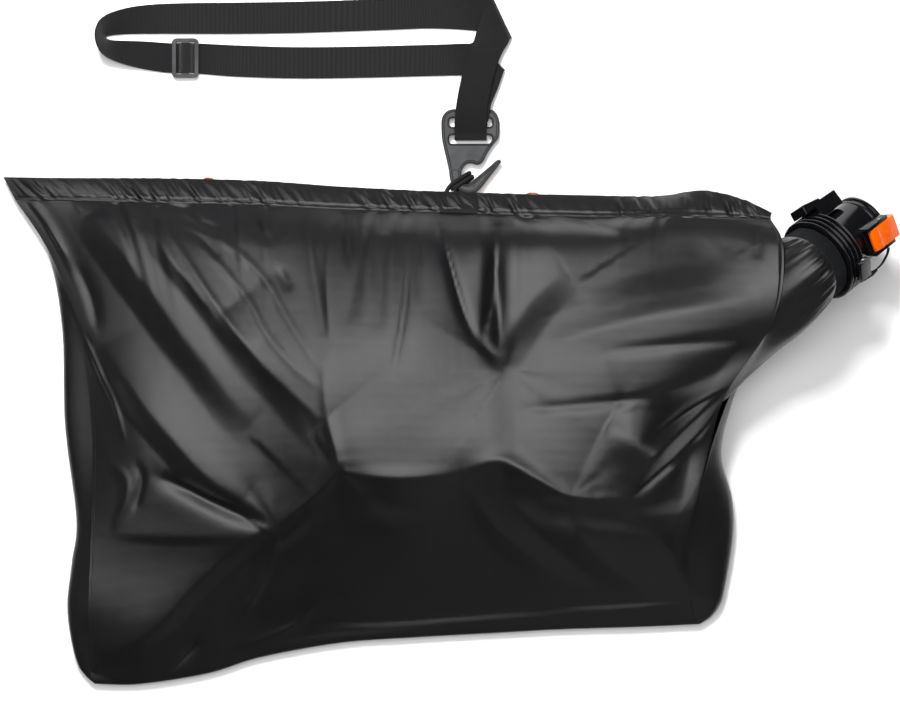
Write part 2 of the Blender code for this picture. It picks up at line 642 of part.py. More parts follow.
def rim_inward(grid, i, j):
    """Ways to the inner side, mitred, for a grid's two outermost rings: seam and rim."""
    across, along = grid.shape[0] - 1, grid.shape[1] - 1
    from_end, from_side = np.minimum(i, across - i), np.minimum(j, along - j)
    step_i = np.where(from_end <= from_side, np.sign(across - 2 * i), 0)
    step_j = np.where(from_side <= from_end, np.sign(along - 2 * j), 0)
    from_long = plan_normals(grid, 0) * step_j[..., None]
    from_short = -plan_normals(grid, 1) * step_i[..., None]
    both = 1 + (from_long * from_short).sum(axis=2, keepdims=True)
    sideways = (from_long + from_short) / np.maximum(both, 0.4)
    for outermost, next_one in ((0, 1), (-1, -2)):
        for last, before in ((0, 1), (-1, -2)):
            sideways[next_one, before] = sideways[outermost, last]
    side = sideways / np.maximum(np.linalg.norm(sideways, axis=2, keepdims=True), 1e-9)

    def slope(vectors):
        flat = np.stack([(vectors * side).sum(axis=2), vectors[..., 2]], axis=2)
        return flat / np.maximum(np.linalg.norm(flat, axis=2, keepdims=True), 1e-9)

    further = grid[i + step_i, j + step_j]
    nearer = grid[np.clip(i - step_i, 0, across), np.clip(j - step_j, 0, along)]
    strip = slope(grid - further)
    seam_way = sideways * strip[..., 1:] - np.array([0, 0, 1.0]) * np.maximum(strip[..., :1], 0)
    up_strip, down_strip = slope(nearer - grid), slope(further - grid)
    half_sine = np.sqrt(np.maximum((1 - (up_strip * down_strip).sum(axis=2)) / 2, MITRE_LIMIT ** 2))
    fold = up_strip + down_strip
    fold /= np.linalg.norm(fold, axis=2, keepdims=True) * half_sine[..., None]
    rim_way = sideways * fold[..., :1] + np.array([0, 0, 1.0]) * fold[..., 1:]
    on_seam = np.minimum(from_end, from_side)[..., None] == 0
    return np.where(on_seam, seam_way, rim_way)


def back_panel(root):
    """The back panel: flat on the floor, turned up round its edges to the seams."""
    across, along = BACK_STEPS
    below_front = np.array([0, 0, -(PANEL_WALL + SEAM_GAP)])
    bottom, bottom_rim = edge_pair(BACK_BOTTOM, across)
    right, right_rim = edge_pair(BACK_RIGHT, along)
    top, top_rim = edge_pair(BACK_TOP, across)
    left, left_rim = edge_pair(BACK_LEFT, along)
    seam = coons(bottom, right, top, left) + below_front
    rim = coons(bottom_rim, right_rim, top_rim, left_rim)
    i, j = np.meshgrid(np.arange(across + 1), np.arange(along + 1), indexing="ij")
    ring = np.minimum(np.minimum(i, across - i), np.minimum(j, along - j))
    u, v = i / across, j / along
    wide_u, wide_v = edge_share(i, across, 1), edge_share(j, along, 1)
    floor_u = FLOOR_INSET + (1 - 2 * FLOOR_INSET) * edge_share(i, across, 2)
    floor_v = FLOOR_INSET + (1 - 2 * FLOOR_INSET) * edge_share(j, along, 2)
    floor_grid = sample_grid(rim, floor_u, floor_v)
    floor_grid[..., 2] = 0
    outer = np.where(ring[..., None] == 0, sample_grid(seam, u, v), sample_grid(rim, wide_u, wide_v))
    outer = np.where(ring[..., None] >= 2, floor_grid, outer)
    inward = rim_inward(outer, i, j)
    inward = np.where(ring[..., None] >= 2, np.array([0.0, 0.0, 1.0]), inward)
    sheet("back_panel", outer, outer + inward * PANEL_WALL, "nylon", root)


def hem_grid():
    """Upper surface of the hem, from the front panel's edge to the far edge."""
    inner_line = bag_scale(even_curve(FRONT_CAGE[-1], HEM_STEPS + 1))
    outer_line = bag_scale(even_curve(HEM_EDGE, HEM_STEPS + 1))
    share = np.linspace(0, 1, HEM_STEPS + 1)[:, None]
    way = outer_line - inner_line
    way /= np.linalg.norm(way, axis=1, keepdims=True)
    start = inner_line + way * SEAM_GAP
    pucker = HEM_PUCKER * np.sin(share * 2 * math.pi * 17 + 1.5 * np.sin(share * 19))
    rows = [start]
    for part, rise in ((0.35, 1.0), (0.7, 0.8), (1.0, 0.0)):
        row = start + (outer_line - start) * part
        row[:, 2] += (pucker * rise * np.clip(share * (1 - share) * 14, 0, 1))[:, 0]
        rows.append(row)
    return np.stack(rows, axis=1)


def hem(root):
    """The puckered hem folded down over the zip, with the patch that holds the cord."""
    outer = hem_grid()
    inward = -grid_normals(outer)
    inward[..., :2] *= 0.3
    inward /= np.linalg.norm(inward, axis=2, keepdims=True)
    inward[:, 0] = (0, 0, -1)
    sheet("hem_band", outer, outer + inward * HEM_THICKNESS, "nylon", root)

    part = slice(PATCH_COLUMNS[0], PATCH_COLUMNS[1] + 1)
    lower = outer[part] - inward[part] * CLEARANCE * 1.5
    sheet("cord_patch", lower - inward[part] * PATCH_THICKNESS, lower, "webbing", root)


def zip_parts(root):
    """Zip tape standing along the far edge, its coil, the slider and its pull, in their own frame."""
    place = Matrix.Translation((*ZIP_LINE_AT, ZIP_HEIGHT)) @ Matrix.Rotation(math.radians(ZIP_TURN), 4, "Z")
    frame = add_empty("zip_frame", place, root)
    length = (ZIP_END - ZIP_START) / math.cos(math.radians(ZIP_TURN))
    hem_line = bag_scale(even_curve(HEM_EDGE, 200))
    under_hem = HEM_THICKNESS + HEM_PUCKER + 2 * CLEARANCE
    steps = 30
    outer, inner = [], []
    for k in range(steps + 1):
        along = length * k / steps
        x = ZIP_LINE_AT[0] + along * math.cos(math.radians(ZIP_TURN))
        top = np.interp(x, hem_line[:, 0], hem_line[:, 2]) - under_hem - ZIP_HEIGHT
        bottom = ZIP_TAPE_LOW - ZIP_HEIGHT
        rows = [bottom, bottom + (top - bottom) / 2, top]
        outer.append([(along, 0, height) for height in rows])
        inner.append([(along, -ZIP_TAPE_THICKNESS, height) for height in rows])
    sheet("zip_tape", np.array(outer), np.array(inner), "nylon", frame)

    half = ZIP_COIL_WIDTH / 2
    low = CLEARANCE
    coil = box_outline((low, -half), (low + ZIP_COIL_THICKNESS, half))
    coil_start, coil_end = 0.018, length - 0.004
    prism("zip_coil", coil, coil_start, coil_end, "orange", frame, (1, 2, 0))
    stop = box_outline((low, -half * 1.2), (low + ZIP_COIL_THICKNESS * 1.2, half * 1.2))
    first_stop = coil_start - CLEARANCE - ZIP_STOP_LENGTH
    last_stop = coil_end + CLEARANCE
    prism("zip_stop_open", stop, first_stop, first_stop + ZIP_STOP_LENGTH, "steel", frame, (1, 2, 0))
    prism("zip_stop_closed", stop, last_stop, last_stop + ZIP_STOP_LENGTH, "steel", frame, (1, 2, 0))

    slider_middle = length - 0.016
    slider_frame = add_empty("zip_slider_frame", Matrix.Translation((slider_middle, 0, 0)), frame)
    face = low + ZIP_COIL_THICKNESS + CLEARANCE
    body = [
        (-ZIP_SLIDER_LENGTH / 2, -ZIP_SLIDER_WIDTH / 2), (ZIP_SLIDER_LENGTH / 2, -ZIP_SLIDER_WIDTH * 0.44),
        (ZIP_SLIDER_LENGTH / 2, ZIP_SLIDER_WIDTH * 0.44), (-ZIP_SLIDER_LENGTH / 2, ZIP_SLIDER_WIDTH / 2),
    ]
    slider = prism("zip_slider", body, low, face + ZIP_SLIDER_TOP, "steel", slider_frame, (0, 2, 1))
    channel = box_outline((low - 0.002, -half - CLEARANCE), (face, half + CLEARANCE))
    reach = (-ZIP_SLIDER_LENGTH, ZIP_SLIDER_LENGTH)
    cut(slider, prism("slider_channel", channel, *reach, "steel", slider_frame, (1, 2, 0)))

    pull_height = face + ZIP_SLIDER_TOP + CLEARANCE + ZIP_PULL_THICKNESS / 2
    pull_frame = add_empty("zip_pull_frame", Matrix.Translation((0.003, pull_height, 0)), slider_frame)
    pull = [
        (-0.0014, -ZIP_PULL_WIDTH / 3), (-0.0014, ZIP_PULL_WIDTH / 3),
        (-ZIP_PULL_LENGTH, ZIP_PULL_WIDTH / 2), (-ZIP_PULL_LENGTH - 0.002, 0),
        (-ZIP_PULL_LENGTH, -ZIP_PULL_WIDTH / 2),
    ]
    half_pull = ZIP_PULL_THICKNESS / 2
    prism("zip_pull", pull, -half_pull, half_pull, "orange", pull_frame, (0, 2, 1))


def neck_matrix():
    """Frame of the connector: Z out along the pipe, X up across it, Y to its side."""
    tilt, turn = math.radians(NECK_TILT), math.radians(NECK_TURN)
    level = Vector((math.cos(turn), math.sin(turn), 0))
    along = level * math.cos(tilt) - Vector((0, 0, math.sin(tilt)))
    top = level * math.sin(tilt) + Vector((0, 0, math.cos(tilt)))
    side = along.cross(top)
    height = PIPE_OUTER_REACH * math.sin(tilt) + RIM_RADIUS * math.cos(tilt) + CLEARANCE / 2
    matrix = Matrix((top, side, along)).transposed().to_4x4()
    matrix.translation = Vector((*NECK_AT, height))
    return matrix


def connector(root):
    """The pipe with what is clamped round it and the catches on it."""
    neck = add_empty("neck_frame", neck_matrix(), root)
    turned(
        "connector_pipe",
        [
            (PIPE_BORE_RADIUS, -PIPE_INNER_REACH), (PIPE_RADIUS, -PIPE_INNER_REACH),
            (PIPE_RADIUS, -0.002), (COLLAR_RADIUS, -0.002),
            (COLLAR_RADIUS, CLAMP_LENGTH - 0.002), (PIPE_RADIUS, CLAMP_LENGTH - 0.002),
            (PIPE_RADIUS, PIPE_OUTER_REACH - RIM_LENGTH), (RIM_RADIUS, PIPE_OUTER_REACH - RIM_LENGTH),
            (RIM_RADIUS, PIPE_OUTER_REACH), (PIPE_BORE_RADIUS, PIPE_OUTER_REACH),
        ],
        "black_plastic", neck, RING_STEPS,
    )
    start = -0.002 - CLEARANCE
    pitch = CLAMP_LENGTH / CLAMP_RIDGES
    ridge = pitch * 0.45
    seat = COLLAR_RADIUS + CLEARANCE
    profile = [(seat, start)]
    for k in range(CLAMP_RIDGES):
        low = start + k * pitch
        profile += [(CLAMP_RADIUS - 0.0004, low), (CLAMP_RADIUS, low + ridge)]
        if k < CLAMP_RIDGES - 1:
            profile += [(CLAMP_BAND_RADIUS, low + ridge), (CLAMP_BAND_RADIUS, low + pitch)]
    clamp_front = profile[-1][1]
    profile.append((seat, clamp_front))
    turned("clamp_ring", profile, "black_plastic", neck, RING_STEPS)

    cuff_end = start - CLEARANCE
    cuff_start = cuff_end - CUFF_LENGTH
    middle = (cuff_start + cuff_end) / 2
    turned(
        "elastic_cuff",
        [
            (PIPE_RADIUS + CLEARANCE, cuff_start), (CUFF_RADIUS, cuff_start),
            (CUFF_RADIUS + 0.0006, middle),
            (CUFF_RADIUS, cuff_end), (PIPE_RADIUS + CLEARANCE, cuff_end),
        ],
        "elastic", neck, RING_STEPS,
    )
    neck_sleeve(root, cuff_start - CLEARANCE)

    bolt_boss = [
        (CLAMP_RADIUS + CLEARANCE, 0.004), (CLAMP_RADIUS + 0.0075, 0.004),
        (CLAMP_RADIUS + 0.0075, 0.020), (CLAMP_RADIUS + CLEARANCE, 0.020),
    ]
    boss_frame = add_empty("boss_frame", Matrix.Rotation(math.radians(BOSS_TURN), 4, "Z"), neck)
    half = BOSS_LENGTH / 2
    boss = prism("clamp_boss", bolt_boss, -half, half, "black_plastic", boss_frame, (0, 2, 1))
    screw_at, screw_out, reach = CLAMP_RADIUS + 0.004, 0.012, BOSS_LENGTH * 0.56
    hole = (screw_at, -2 * reach, screw_out), (screw_at, 2 * reach, screw_out)
    cut(boss, rod("boss_hole", SCREW_RADIUS + CLEARANCE, *hole, "steel", boss_frame))
    screw = (screw_at, -reach, screw_out), (screw_at, reach, screw_out)
    rod("clamp_screw", SCREW_RADIUS, *screw, "steel", boss_frame)

    collar_end = CLAMP_LENGTH - 0.002
    ring_side, pipe_side = CLAMP_RADIUS + 2 * CLEARANCE, PIPE_RADIUS + 2 * CLEARANCE
    catch_end = PIPE_OUTER_REACH - 0.020
    catch = [
        (-ring_side, 0.006), (-ring_side - 0.0104, 0.008), (-ring_side - 0.0064, 0.033),
        (-ring_side - 0.0044, 0.033), (-ring_side - 0.0034, catch_end), (-pipe_side, catch_end),
        (-pipe_side, collar_end + CLEARANCE), (-ring_side, collar_end + CLEARANCE),
    ]
    prism("side_catch", catch, -0.004, 0.022, "black_plastic", neck, (1, 2, 0))
    latch(neck)
    tether(neck, clamp_front)


def neck_sleeve(root, cuff_start):
    """The fabric neck, from its oval root inside the bag to the elastic cuff."""
    matrix = neck_matrix()
    end = matrix @ Vector((0, 0, cuff_start))
    along = matrix.to_3x3() @ Vector((0, 0, 1))
    end_top = matrix.to_3x3() @ Vector((1, 0, 0))
    end_side = matrix.to_3x3() @ Vector((0, 1, 0))
    root_at = Vector(SLEEVE_ROOT)
    root_side = Vector(SLEEVE_ROOT_SIDE).normalized()
    root_top = Vector((0, 0, 1)) - root_side * root_side.z
    root_top.normalize()
    around, rows = 32, 7
    pull = (end - root_at).length
    outer = np.zeros((around, rows + 1, 3))
    inner = np.zeros((around, rows + 1, 3))
    for j in range(rows + 1):
        t = j / rows
        centre = (
            root_at * (2 * t**3 - 3 * t**2 + 1) + end * (3 * t**2 - 2 * t**3)
            + Vector((1, -0.05, 0)) * pull * (t**3 - 2 * t**2 + t) * 0.9
            + along * pull * (t**3 - t**2) * 0.9
        )
        ease = 3 * t**2 - 2 * t**3
        top = root_top.lerp(end_top, ease).normalized()
        side = root_side.lerp(end_side, ease).normalized()
        half_width = SLEEVE_ROOT_HALF_WIDTH + (CUFF_RADIUS - SLEEVE_ROOT_HALF_WIDTH) * t**0.8
        half_height = SLEEVE_ROOT_HALF_HEIGHT + (CUFF_RADIUS - SLEEVE_ROOT_HALF_HEIGHT) * t
        for i in range(around):
            turn = 2 * math.pi * i / around
            gather = 0.0014 * math.sin(9 * turn) * math.sin(math.pi * t)
            for target, wall in ((outer, 0.0), (inner, SLEEVE_WALL)):
                target[i, j] = (
                    centre + top * (half_height + gather - wall) * math.cos(turn)
                    + side * (half_width + gather - wall) * math.sin(turn)
                )
    sheet("neck_sleeve", outer, inner, "nylon", root, around=True)


def latch(neck):
    """The release latch: housing, lever, pin and spring, in a frame turned round the pipe."""
    frame = add_empty("latch_frame", Matrix.Rotation(math.radians(LATCH_TURN), 4, "Z"), neck)
    slot_half = LEVER_WIDTH / 2 + CLEARANCE
    outside_half = slot_half + CHEEK_THICKNESS
    seat = PIPE_RADIUS + CLEARANCE
    cheek_top = LEVER_BOTTOM + LEVER_THICKNESS * 0.75
    section = []
    for k in range(9):
        across = -outside_half + 2 * outside_half * k / 8
        section.append((math.sqrt(seat**2 - across**2), across))
    section += [
        (cheek_top, outside_half), (cheek_top, slot_half), (HOUSING_FLOOR, slot_half),
        (HOUSING_FLOOR, -slot_half), (cheek_top, -slot_half), (cheek_top, -outside_half),
    ]
    housing_start = LEVER_PIVOT - LEVER_LENGTH / 2 - 0.003
    housing_end = PIPE_OUTER_REACH - RIM_LENGTH - CLEARANCE
    housing = prism("latch_housing", section, housing_start, housing_end, "black_plastic", frame)

    pin_at = LEVER_BOTTOM + LEVER_THICKNESS * 0.42
    hinge = add_empty("lever_hinge", Matrix.Translation((pin_at, 0, LEVER_PIVOT)), frame)
    half = LEVER_LENGTH / 2
    low = LEVER_BOTTOM - pin_at
    high = low + LEVER_THICKNESS
    claw = PIPE_OUTER_REACH + 0.0012 - LEVER_PIVOT
    side_view = [
        (low + 0.0008, -half), (low, -half + 0.001),
        (low, claw), (low - 0.0042, claw), (low - 0.0050, claw + 0.0012),
        (low - 0.0030, half - 0.0008), (high - 0.0030, half),
        (high - 0.0008, half - 0.0012), (high, half - 0.003),
        (high, -half + 0.0165), (high - 0.0012, -half + 0.0150), (high - 0.0012, -half + 0.0125),
        (high - 0.0002, -half + 0.0110), (high - 0.0002, -half + 0.0080),
        (high - 0.0015, -half + 0.002), (high - 0.0035, -half),
    ]
    lever = prism("latch_lever", side_view, -LEVER_WIDTH / 2, LEVER_WIDTH / 2, "orange", hinge, (0, 2, 1))
    pin_reach = outside_half + 0.0006
    bore_place = (0, -pin_reach * 1.5, 0), (0, pin_reach * 1.5, 0)
    cut(lever, rod("lever_bore", PIN_RADIUS + CLEARANCE, *bore_place, "steel", hinge))
    bore_place = (pin_at, -pin_reach * 1.5, LEVER_PIVOT), (pin_at, pin_reach * 1.5, LEVER_PIVOT)
    cut(housing, rod("housing_bore", PIN_RADIUS + CLEARANCE, *bore_place, "steel", frame))
    pin_place = (pin_at, -pin_reach, LEVER_PIVOT), (pin_at, pin_reach, LEVER_PIVOT)
    rod("latch_pin", PIN_RADIUS, *pin_place, "steel", frame)

    wire = SPRING_WIRE_RADIUS
    bottom = HOUSING_FLOOR + CLEARANCE + wire
    rise = LEVER_BOTTOM - CLEARANCE - wire - bottom
    turns = np.linspace(0, SPRING_TURNS, SPRING_TURNS * 12 + 1)
    points = [
        (
            bottom + rise * k / SPRING_TURNS,
            SPRING_RADIUS * math.cos(2 * math.pi * k),
            SPRING_AT + SPRING_RADIUS * math.sin(2 * math.pi * k),
        )
        for k in turns
    ]
    tube("latch_spring", points, wire, "steel", frame, 1)


def tether(neck, clamp_front):
    """The strap that ties the latch to the clamp ring, and the tab that it ends in."""
    rim = PIPE_OUTER_REACH - 0.077
    line = [
        (0.0313, 0.0344, 0.0625 + rim), (0.0290, 0.0390, 0.0580 + rim),
        (0.0225, 0.0446, 0.0480 + rim / 2), (0.0170, 0.0456, 0.0396),
    ]
    half = 0.0018
    edges = [((x + half, y, z), (x - half, y, z)) for x, y, z in line]
    ribbon("tether_strap", edges, 0.0014, "elastic", neck, 3)
    tab = [
        (CLAMP_BAND_RADIUS, clamp_front + 0.0008), (CLAMP_RADIUS - 0.0005, clamp_front + 0.0008),
        (CLAMP_RADIUS + 0.0005, 0.0300), (CLAMP_RADIUS - 0.0008, 0.0392), (CLAMP_RADIUS - 0.0034, 0.0392),
        (CLAMP_BAND_RADIUS - 0.0010, 0.0300),
    ]
    prism("tether_tab", tab, 0.0095, 0.0235, "elastic", neck, (1, 2, 0))


def strap(root):
    """The webbing with its hook and glide, all lying on the floor beyond the zip."""
    edges = np.array(STRAP_EDGES) * STRAP_SCALE / 1000 + np.array([0, STRAP_SHIFT, 0])
    ribbon("shoulder_strap", edges, WEBBING_THICKNESS, "webbing", root, 1)

    place = Matrix.Translation((0, HOOK_TILT_AT + STRAP_SHIFT, HOOK_HEIGHT))
    frame = add_empty("hook_frame", place @ Matrix.Rotation(math.radians(-HOOK_TILT), 4, "X"), root)
    outline = [(x * STRAP_SCALE / 1000, y * STRAP_SCALE / 1000 - HOOK_TILT_AT) for x, y in HOOK_OUTLINE]
    hook = prism("carrying_hook", outline, 0, HOOK_THICKNESS, "grey_plastic", frame)
    for k, (x, y) in enumerate(HOOK_SLOTS):
        middle = (x * STRAP_SCALE / 1000, y * STRAP_SCALE / 1000 - HOOK_TILT_AT)
        slot = rounded_outline(middle, HOOK_SLOT, HOOK_SLOT[1] * 0.3, 2)
        cut(hook, prism(f"hook_slot_{k}", slot, -HOOK_THICKNESS, 2 * HOOK_THICKNESS, "grey_plastic", frame))
    soften(hook, EDGE_SOFTENING)

    place = Matrix.Translation((GLIDE_AT[0], GLIDE_AT[1] + STRAP_SHIFT, GLIDE_HEIGHT))
    frame = add_empty("glide_frame", place, root)
    outline = rounded_outline((0, 0), (GLIDE_LENGTH, GLIDE_WIDTH), 0.005)
    glide = prism("strap_glide", outline, 0, GLIDE_THICKNESS, "grey_plastic", frame)
    inner_x, outer_x = GLIDE_MIDDLE_BAR / 2, GLIDE_LENGTH / 2 - GLIDE_BAR
    inner_y = GLIDE_WIDTH / 2 - GLIDE_RAIL
    for side, name in ((-1, "glide_slot_0"), (1, "glide_slot_1")):
        middle = (side * (inner_x + outer_x) / 2, 0)
        slot = rounded_outline(middle, (outer_x - inner_x, 2 * inner_y), 0.001, 2)
        cut(glide, prism(name, slot, -GLIDE_THICKNESS, 2 * GLIDE_THICKNESS, "grey_plastic", frame))
    soften(glide, EDGE_SOFTENING)


def cord(root):
    """The cord that ties the hook to the patch, twice round the hook's lower bar."""
    turn = math.radians(CORD_TURN)
    points = [
        (
            CORD_AT[0] + across * math.cos(turn) - along * math.sin(turn),
            CORD_AT[1] + STRAP_SHIFT + across * math.sin(turn) + along * math.cos(turn),
            height,
        )
        for across, along, height in np.array(CORD_LINE) * STRAP_SCALE / 1000
    ]
    tube("cord_loop", points, CORD_RADIUS, "webbing", root, 1)


def stand_on_floor(root):
    """Moves the root so that the middle of the object's box lies over the origin, on the floor."""
    bpy.context.view_layer.update()
    graph = bpy.context.evaluated_depsgraph_get()
    low, high = np.full(3, np.inf), np.full(3, -np.inf)
    for thing in bpy.context.scene.objects:
        if thing.type == "EMPTY" or thing.hide_render:
            continue
        solid = thing.evaluated_get(graph)
        mesh = solid.to_mesh()
        points = np.array([solid.matrix_world @ vertex.co for vertex in mesh.vertices])
        solid.to_mesh_clear()
        low, high = np.minimum(low, points.min(axis=0)), np.maximum(high, points.max(axis=0))
    middle = (low + high) / 2
    root.location = (-middle[0], -middle[1], -low[2])


def main():
    clear_scene()
    root = add_empty("bag_root", Matrix.Identity(4))
    front_panel(root)
    back_panel(root)
    hem(root)
    zip_parts(root)
    connector(root)
    strap(root)
    cord(root)
    stand_on_floor(root)


main()
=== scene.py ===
# %% [markdown]
# This lesson dresses a blower vacuum collection bag. The bag is sewn from coated nylon, lies half
# filled on a white floor, and is seen straight from above. The CAD model is loaded first. It is the
# fixed frame that every new piece is measured against, so nothing has to be fitted by eye.

# %% Load the frame
import math

import bpy
import numpy as np
from mathutils import Matrix, Vector


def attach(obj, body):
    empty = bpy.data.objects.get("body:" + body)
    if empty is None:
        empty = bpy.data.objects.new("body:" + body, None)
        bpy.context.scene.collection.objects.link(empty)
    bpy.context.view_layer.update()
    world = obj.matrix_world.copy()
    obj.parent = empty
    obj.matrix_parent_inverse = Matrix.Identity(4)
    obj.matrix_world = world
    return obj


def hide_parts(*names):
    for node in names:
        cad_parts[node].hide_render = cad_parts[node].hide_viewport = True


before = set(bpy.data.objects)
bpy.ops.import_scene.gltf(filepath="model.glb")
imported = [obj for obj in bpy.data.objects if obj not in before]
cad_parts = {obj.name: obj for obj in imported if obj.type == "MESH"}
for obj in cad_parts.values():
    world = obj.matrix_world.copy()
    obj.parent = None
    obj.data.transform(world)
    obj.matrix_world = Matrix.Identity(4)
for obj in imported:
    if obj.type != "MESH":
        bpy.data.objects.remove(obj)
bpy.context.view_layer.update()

# %% [markdown]
# Sizes on the bag are written in millimetres from the middle of the photograph, with x to the right,
# y up the picture and z off the floor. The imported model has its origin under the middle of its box,
# so one shift turns the bag's own places into the model's.

# %% Places
BAG_SHIFT = np.array([0.00345, -0.02103, 0.0])
PIXEL_ON_BAG = 1.1


def from_bag(points):
    """Millimetres in the bag's own frame, as metres in the model's."""
    return np.asarray(points, float) / 1000 + BAG_SHIFT


def on_cloth(pixels):
    """Places on the bag's upper side, read in pixels of the picture, as millimetres."""
    return [((x - 450) * PIXEL_ON_BAG, (358 - y) * PIXEL_ON_BAG) for x, y in pixels]


# %% [markdown]
# The camera hangs 2.6 m above the floor, where a product photographer would put it to keep the bag
# from spreading towards its edges, and it looks straight down.

# %% Camera
CAMERA_HEIGHT = 2.6
LENS = 92.84
camera_data = bpy.data.cameras.new("camera")
camera_data.lens = LENS
camera_data.sensor_width = 36.0
camera_data.clip_end = 20.0
camera = bpy.data.objects.new("camera", camera_data)
camera.location = (BAG_SHIFT[0], BAG_SHIFT[1], CAMERA_HEIGHT)
bpy.context.scene.collection.objects.link(camera)
bpy.context.scene.camera = camera

# %% [markdown]
# The cloth is dark and shines like satin, so its folds are drawn by what they mirror. A broad softbox
# hangs over the far half of the bag. Cloth that lies flat or leans away from the viewer mirrors it
# and looks grey, and cloth that leans towards the near edge mirrors the dark room and looks black.
# A small lamp beyond the zip lights the plastic and casts the shadow. The cloth doesn't mirror it, so
# the long soft shapes stay whole. Two dim panels, one near and one far, lift the bag's steep sides.

# %% Lights


def softbox(name, place, aim, size, strength):
    """A rectangular area lamp that faces a point."""
    data = bpy.data.lights.new(name, "AREA")
    data.shape = "RECTANGLE"
    data.size, data.size_y = size
    data.energy = strength
    lamp = bpy.data.objects.new(name, data)
    lamp.location = place
    way = Vector(aim) - Vector(place)
    lamp.rotation_euler = way.to_track_quat("-Z", "Y").to_euler()
    bpy.context.scene.collection.objects.link(lamp)
    return lamp


softbox("overhead", (-0.3, 0.45, 2.9), (-0.3, 0.45, 0.0), (3.6, 1.75), 70)
window = softbox("window", (-0.4, 1.7, 2.0), (0.0, 0.0, 0.0), (0.6, 0.6), 88)
window.visible_glossy = False
softbox("doorway", (0.9, -2.0, 1.5), (0.0, -0.2, 0.0), (1.5, 0.6), 1.3)
softbox("far_wall", (-0.3, 2.6, 1.6), (-0.1, 0.1, 0.0), (3.0, 0.9), 3.5)
world = bpy.data.worlds.new("room")
bpy.context.scene.world = world
world.use_nodes = True
world.node_tree.nodes["Background"].inputs["Color"].default_value = (1, 1, 1, 1)
world.node_tree.nodes["Background"].inputs["Strength"].default_value = 0.03
bpy.context.scene.view_settings.view_transform = "Standard"

# %% [markdown]
# Colours are written as the hex values that a colour picker shows, and one function turns them to
# the linear numbers that shaders count in. One other function adds a node with its settings and links.

# %% Colour and node helpers


def colour(code):
    """An sRGB hex colour as linear red, green, blue and alpha."""
    parts = [int(code[k:k + 2], 16) / 255 for k in (1, 3, 5)]
    linear = [c / 12.92 if c <= 0.04045 else ((c + 0.055) / 1.055) ** 2.4 for c in parts]
    return (*linear, 1.0)


def add_node(tree, kind, settings=None, **links):
    """Adds a node. A link is a value or another node's output, named by the input's name."""
    node = tree.nodes.new(kind)
    for key, value in (settings or {}).items():
        setattr(node, key, value)
    for key, value in links.items():
        socket = node.inputs[int(key[1:]) if key[0] == "_" else key.replace("_", " ")]
        if isinstance(value, bpy.types.NodeSocket):
            tree.links.new(value, socket)
        else:
            socket.default_value = value
    return node


def new_material(name, base, roughness, **shader):
    """A material with a Principled shader, and its tree, shader and output ready to extend."""
    made = bpy.data.materials.new(name)
    made.use_nodes = True
    tree = made.node_tree
    surface = tree.nodes["Principled BSDF"]
    surface.inputs["Base Color"].default_value = colour(base)
    surface.inputs["Roughness"].default_value = roughness
    for key, value in shader.items():
        surface.inputs[key.replace("_", " ")].default_value = value
    made.diffuse_color = colour(base)
    return made, tree, surface


# %% [markdown]
# The floor is white paper. It is pale in its own colour, and a little light of its own, which only
# the camera and mirrored rays see, brings it to white while the bag's soft shadow stays.

# %% Floor
PAPER_GLOW = 0.08
paper, tree, surface = new_material("white_paper", "#F2F2F2", 0.9)
surface.inputs["Specular IOR Level"].default_value = 0.1
seen = add_node(tree, "ShaderNodeLightPath")
seen_or_mirrored = add_node(
    tree, "ShaderNodeMath", {"operation": "MAXIMUM"},
    _0=seen.outputs["Is Camera Ray"], _1=seen.outputs["Is Glossy Ray"],
)
glow = add_node(
    tree, "ShaderNodeMath", {"operation": "MULTIPLY"}, _0=seen_or_mirrored.outputs[0], _1=PAPER_GLOW
)
surface.inputs["Emission Color"].default_value = (1, 1, 1, 1)
tree.links.new(glow.outputs[0], surface.inputs["Emission Strength"])
bpy.ops.mesh.primitive_plane_add(size=12, location=(0, 0, -0.0002))
floor = bpy.context.object
floor.name = "floor"
floor.data.materials.append(paper)

# %% [markdown]
# The cloth is a tightly woven nylon with a coating that shines. Its threads are about 0.3 mm apart,
# far less than a pixel, so the weave is drawn four times as coarse as it is and kept very shallow.
# The coating is creased in places, which makes the shine a little uneven.

# %% Coated nylon
THREAD_PITCH = 0.0012


def coated_nylon(name, base, roughness):
    """Coated woven nylon: near black, with a satin shine that fine threads break up."""
    made, tree, surface = new_material(name, base, roughness, Specular_IOR_Level=0.8)
    surface.inputs["Sheen Weight"].default_value = 0.03
    surface.inputs["Sheen Roughness"].default_value = 0.4
    place = add_node(tree, "ShaderNodeTexCoord")
    warp, weft = [
        add_node(
            tree, "ShaderNodeTexWave", {"bands_direction": way},
            Vector=place.outputs["Object"], Scale=1 / THREAD_PITCH / 6.283 * 2, Distortion=0.3,
        )
        for way in "XY"
    ]
    weave = add_node(
        tree, "ShaderNodeMath", {"operation": "ADD"}, _0=warp.outputs["Fac"], _1=weft.outputs["Fac"]
    )
    slack = add_node(tree, "ShaderNodeTexNoise", Vector=place.outputs["Object"], Scale=60.0, Detail=3.0)
    worn = add_node(
        tree, "ShaderNodeMapRange",
        _0=slack.outputs["Fac"], _1=0.3, _2=0.7, _3=roughness - 0.01, _4=roughness + 0.02,
    )
    tree.links.new(worn.outputs[0], surface.inputs["Roughness"])
    fine = add_node(tree, "ShaderNodeBump", Strength=0.18, Distance=0.0003, Height=weave.outputs[0])
    creased = add_node(
        tree, "ShaderNodeBump", Strength=0.08, Distance=0.002,
        Height=slack.outputs["Fac"], Normal=fine.outputs["Normal"],
    )
    tree.links.new(creased.outputs["Normal"], surface.inputs["Normal"])
    return made


nylon = coated_nylon("coated_woven_nylon", "#0C0C0E", 0.33)

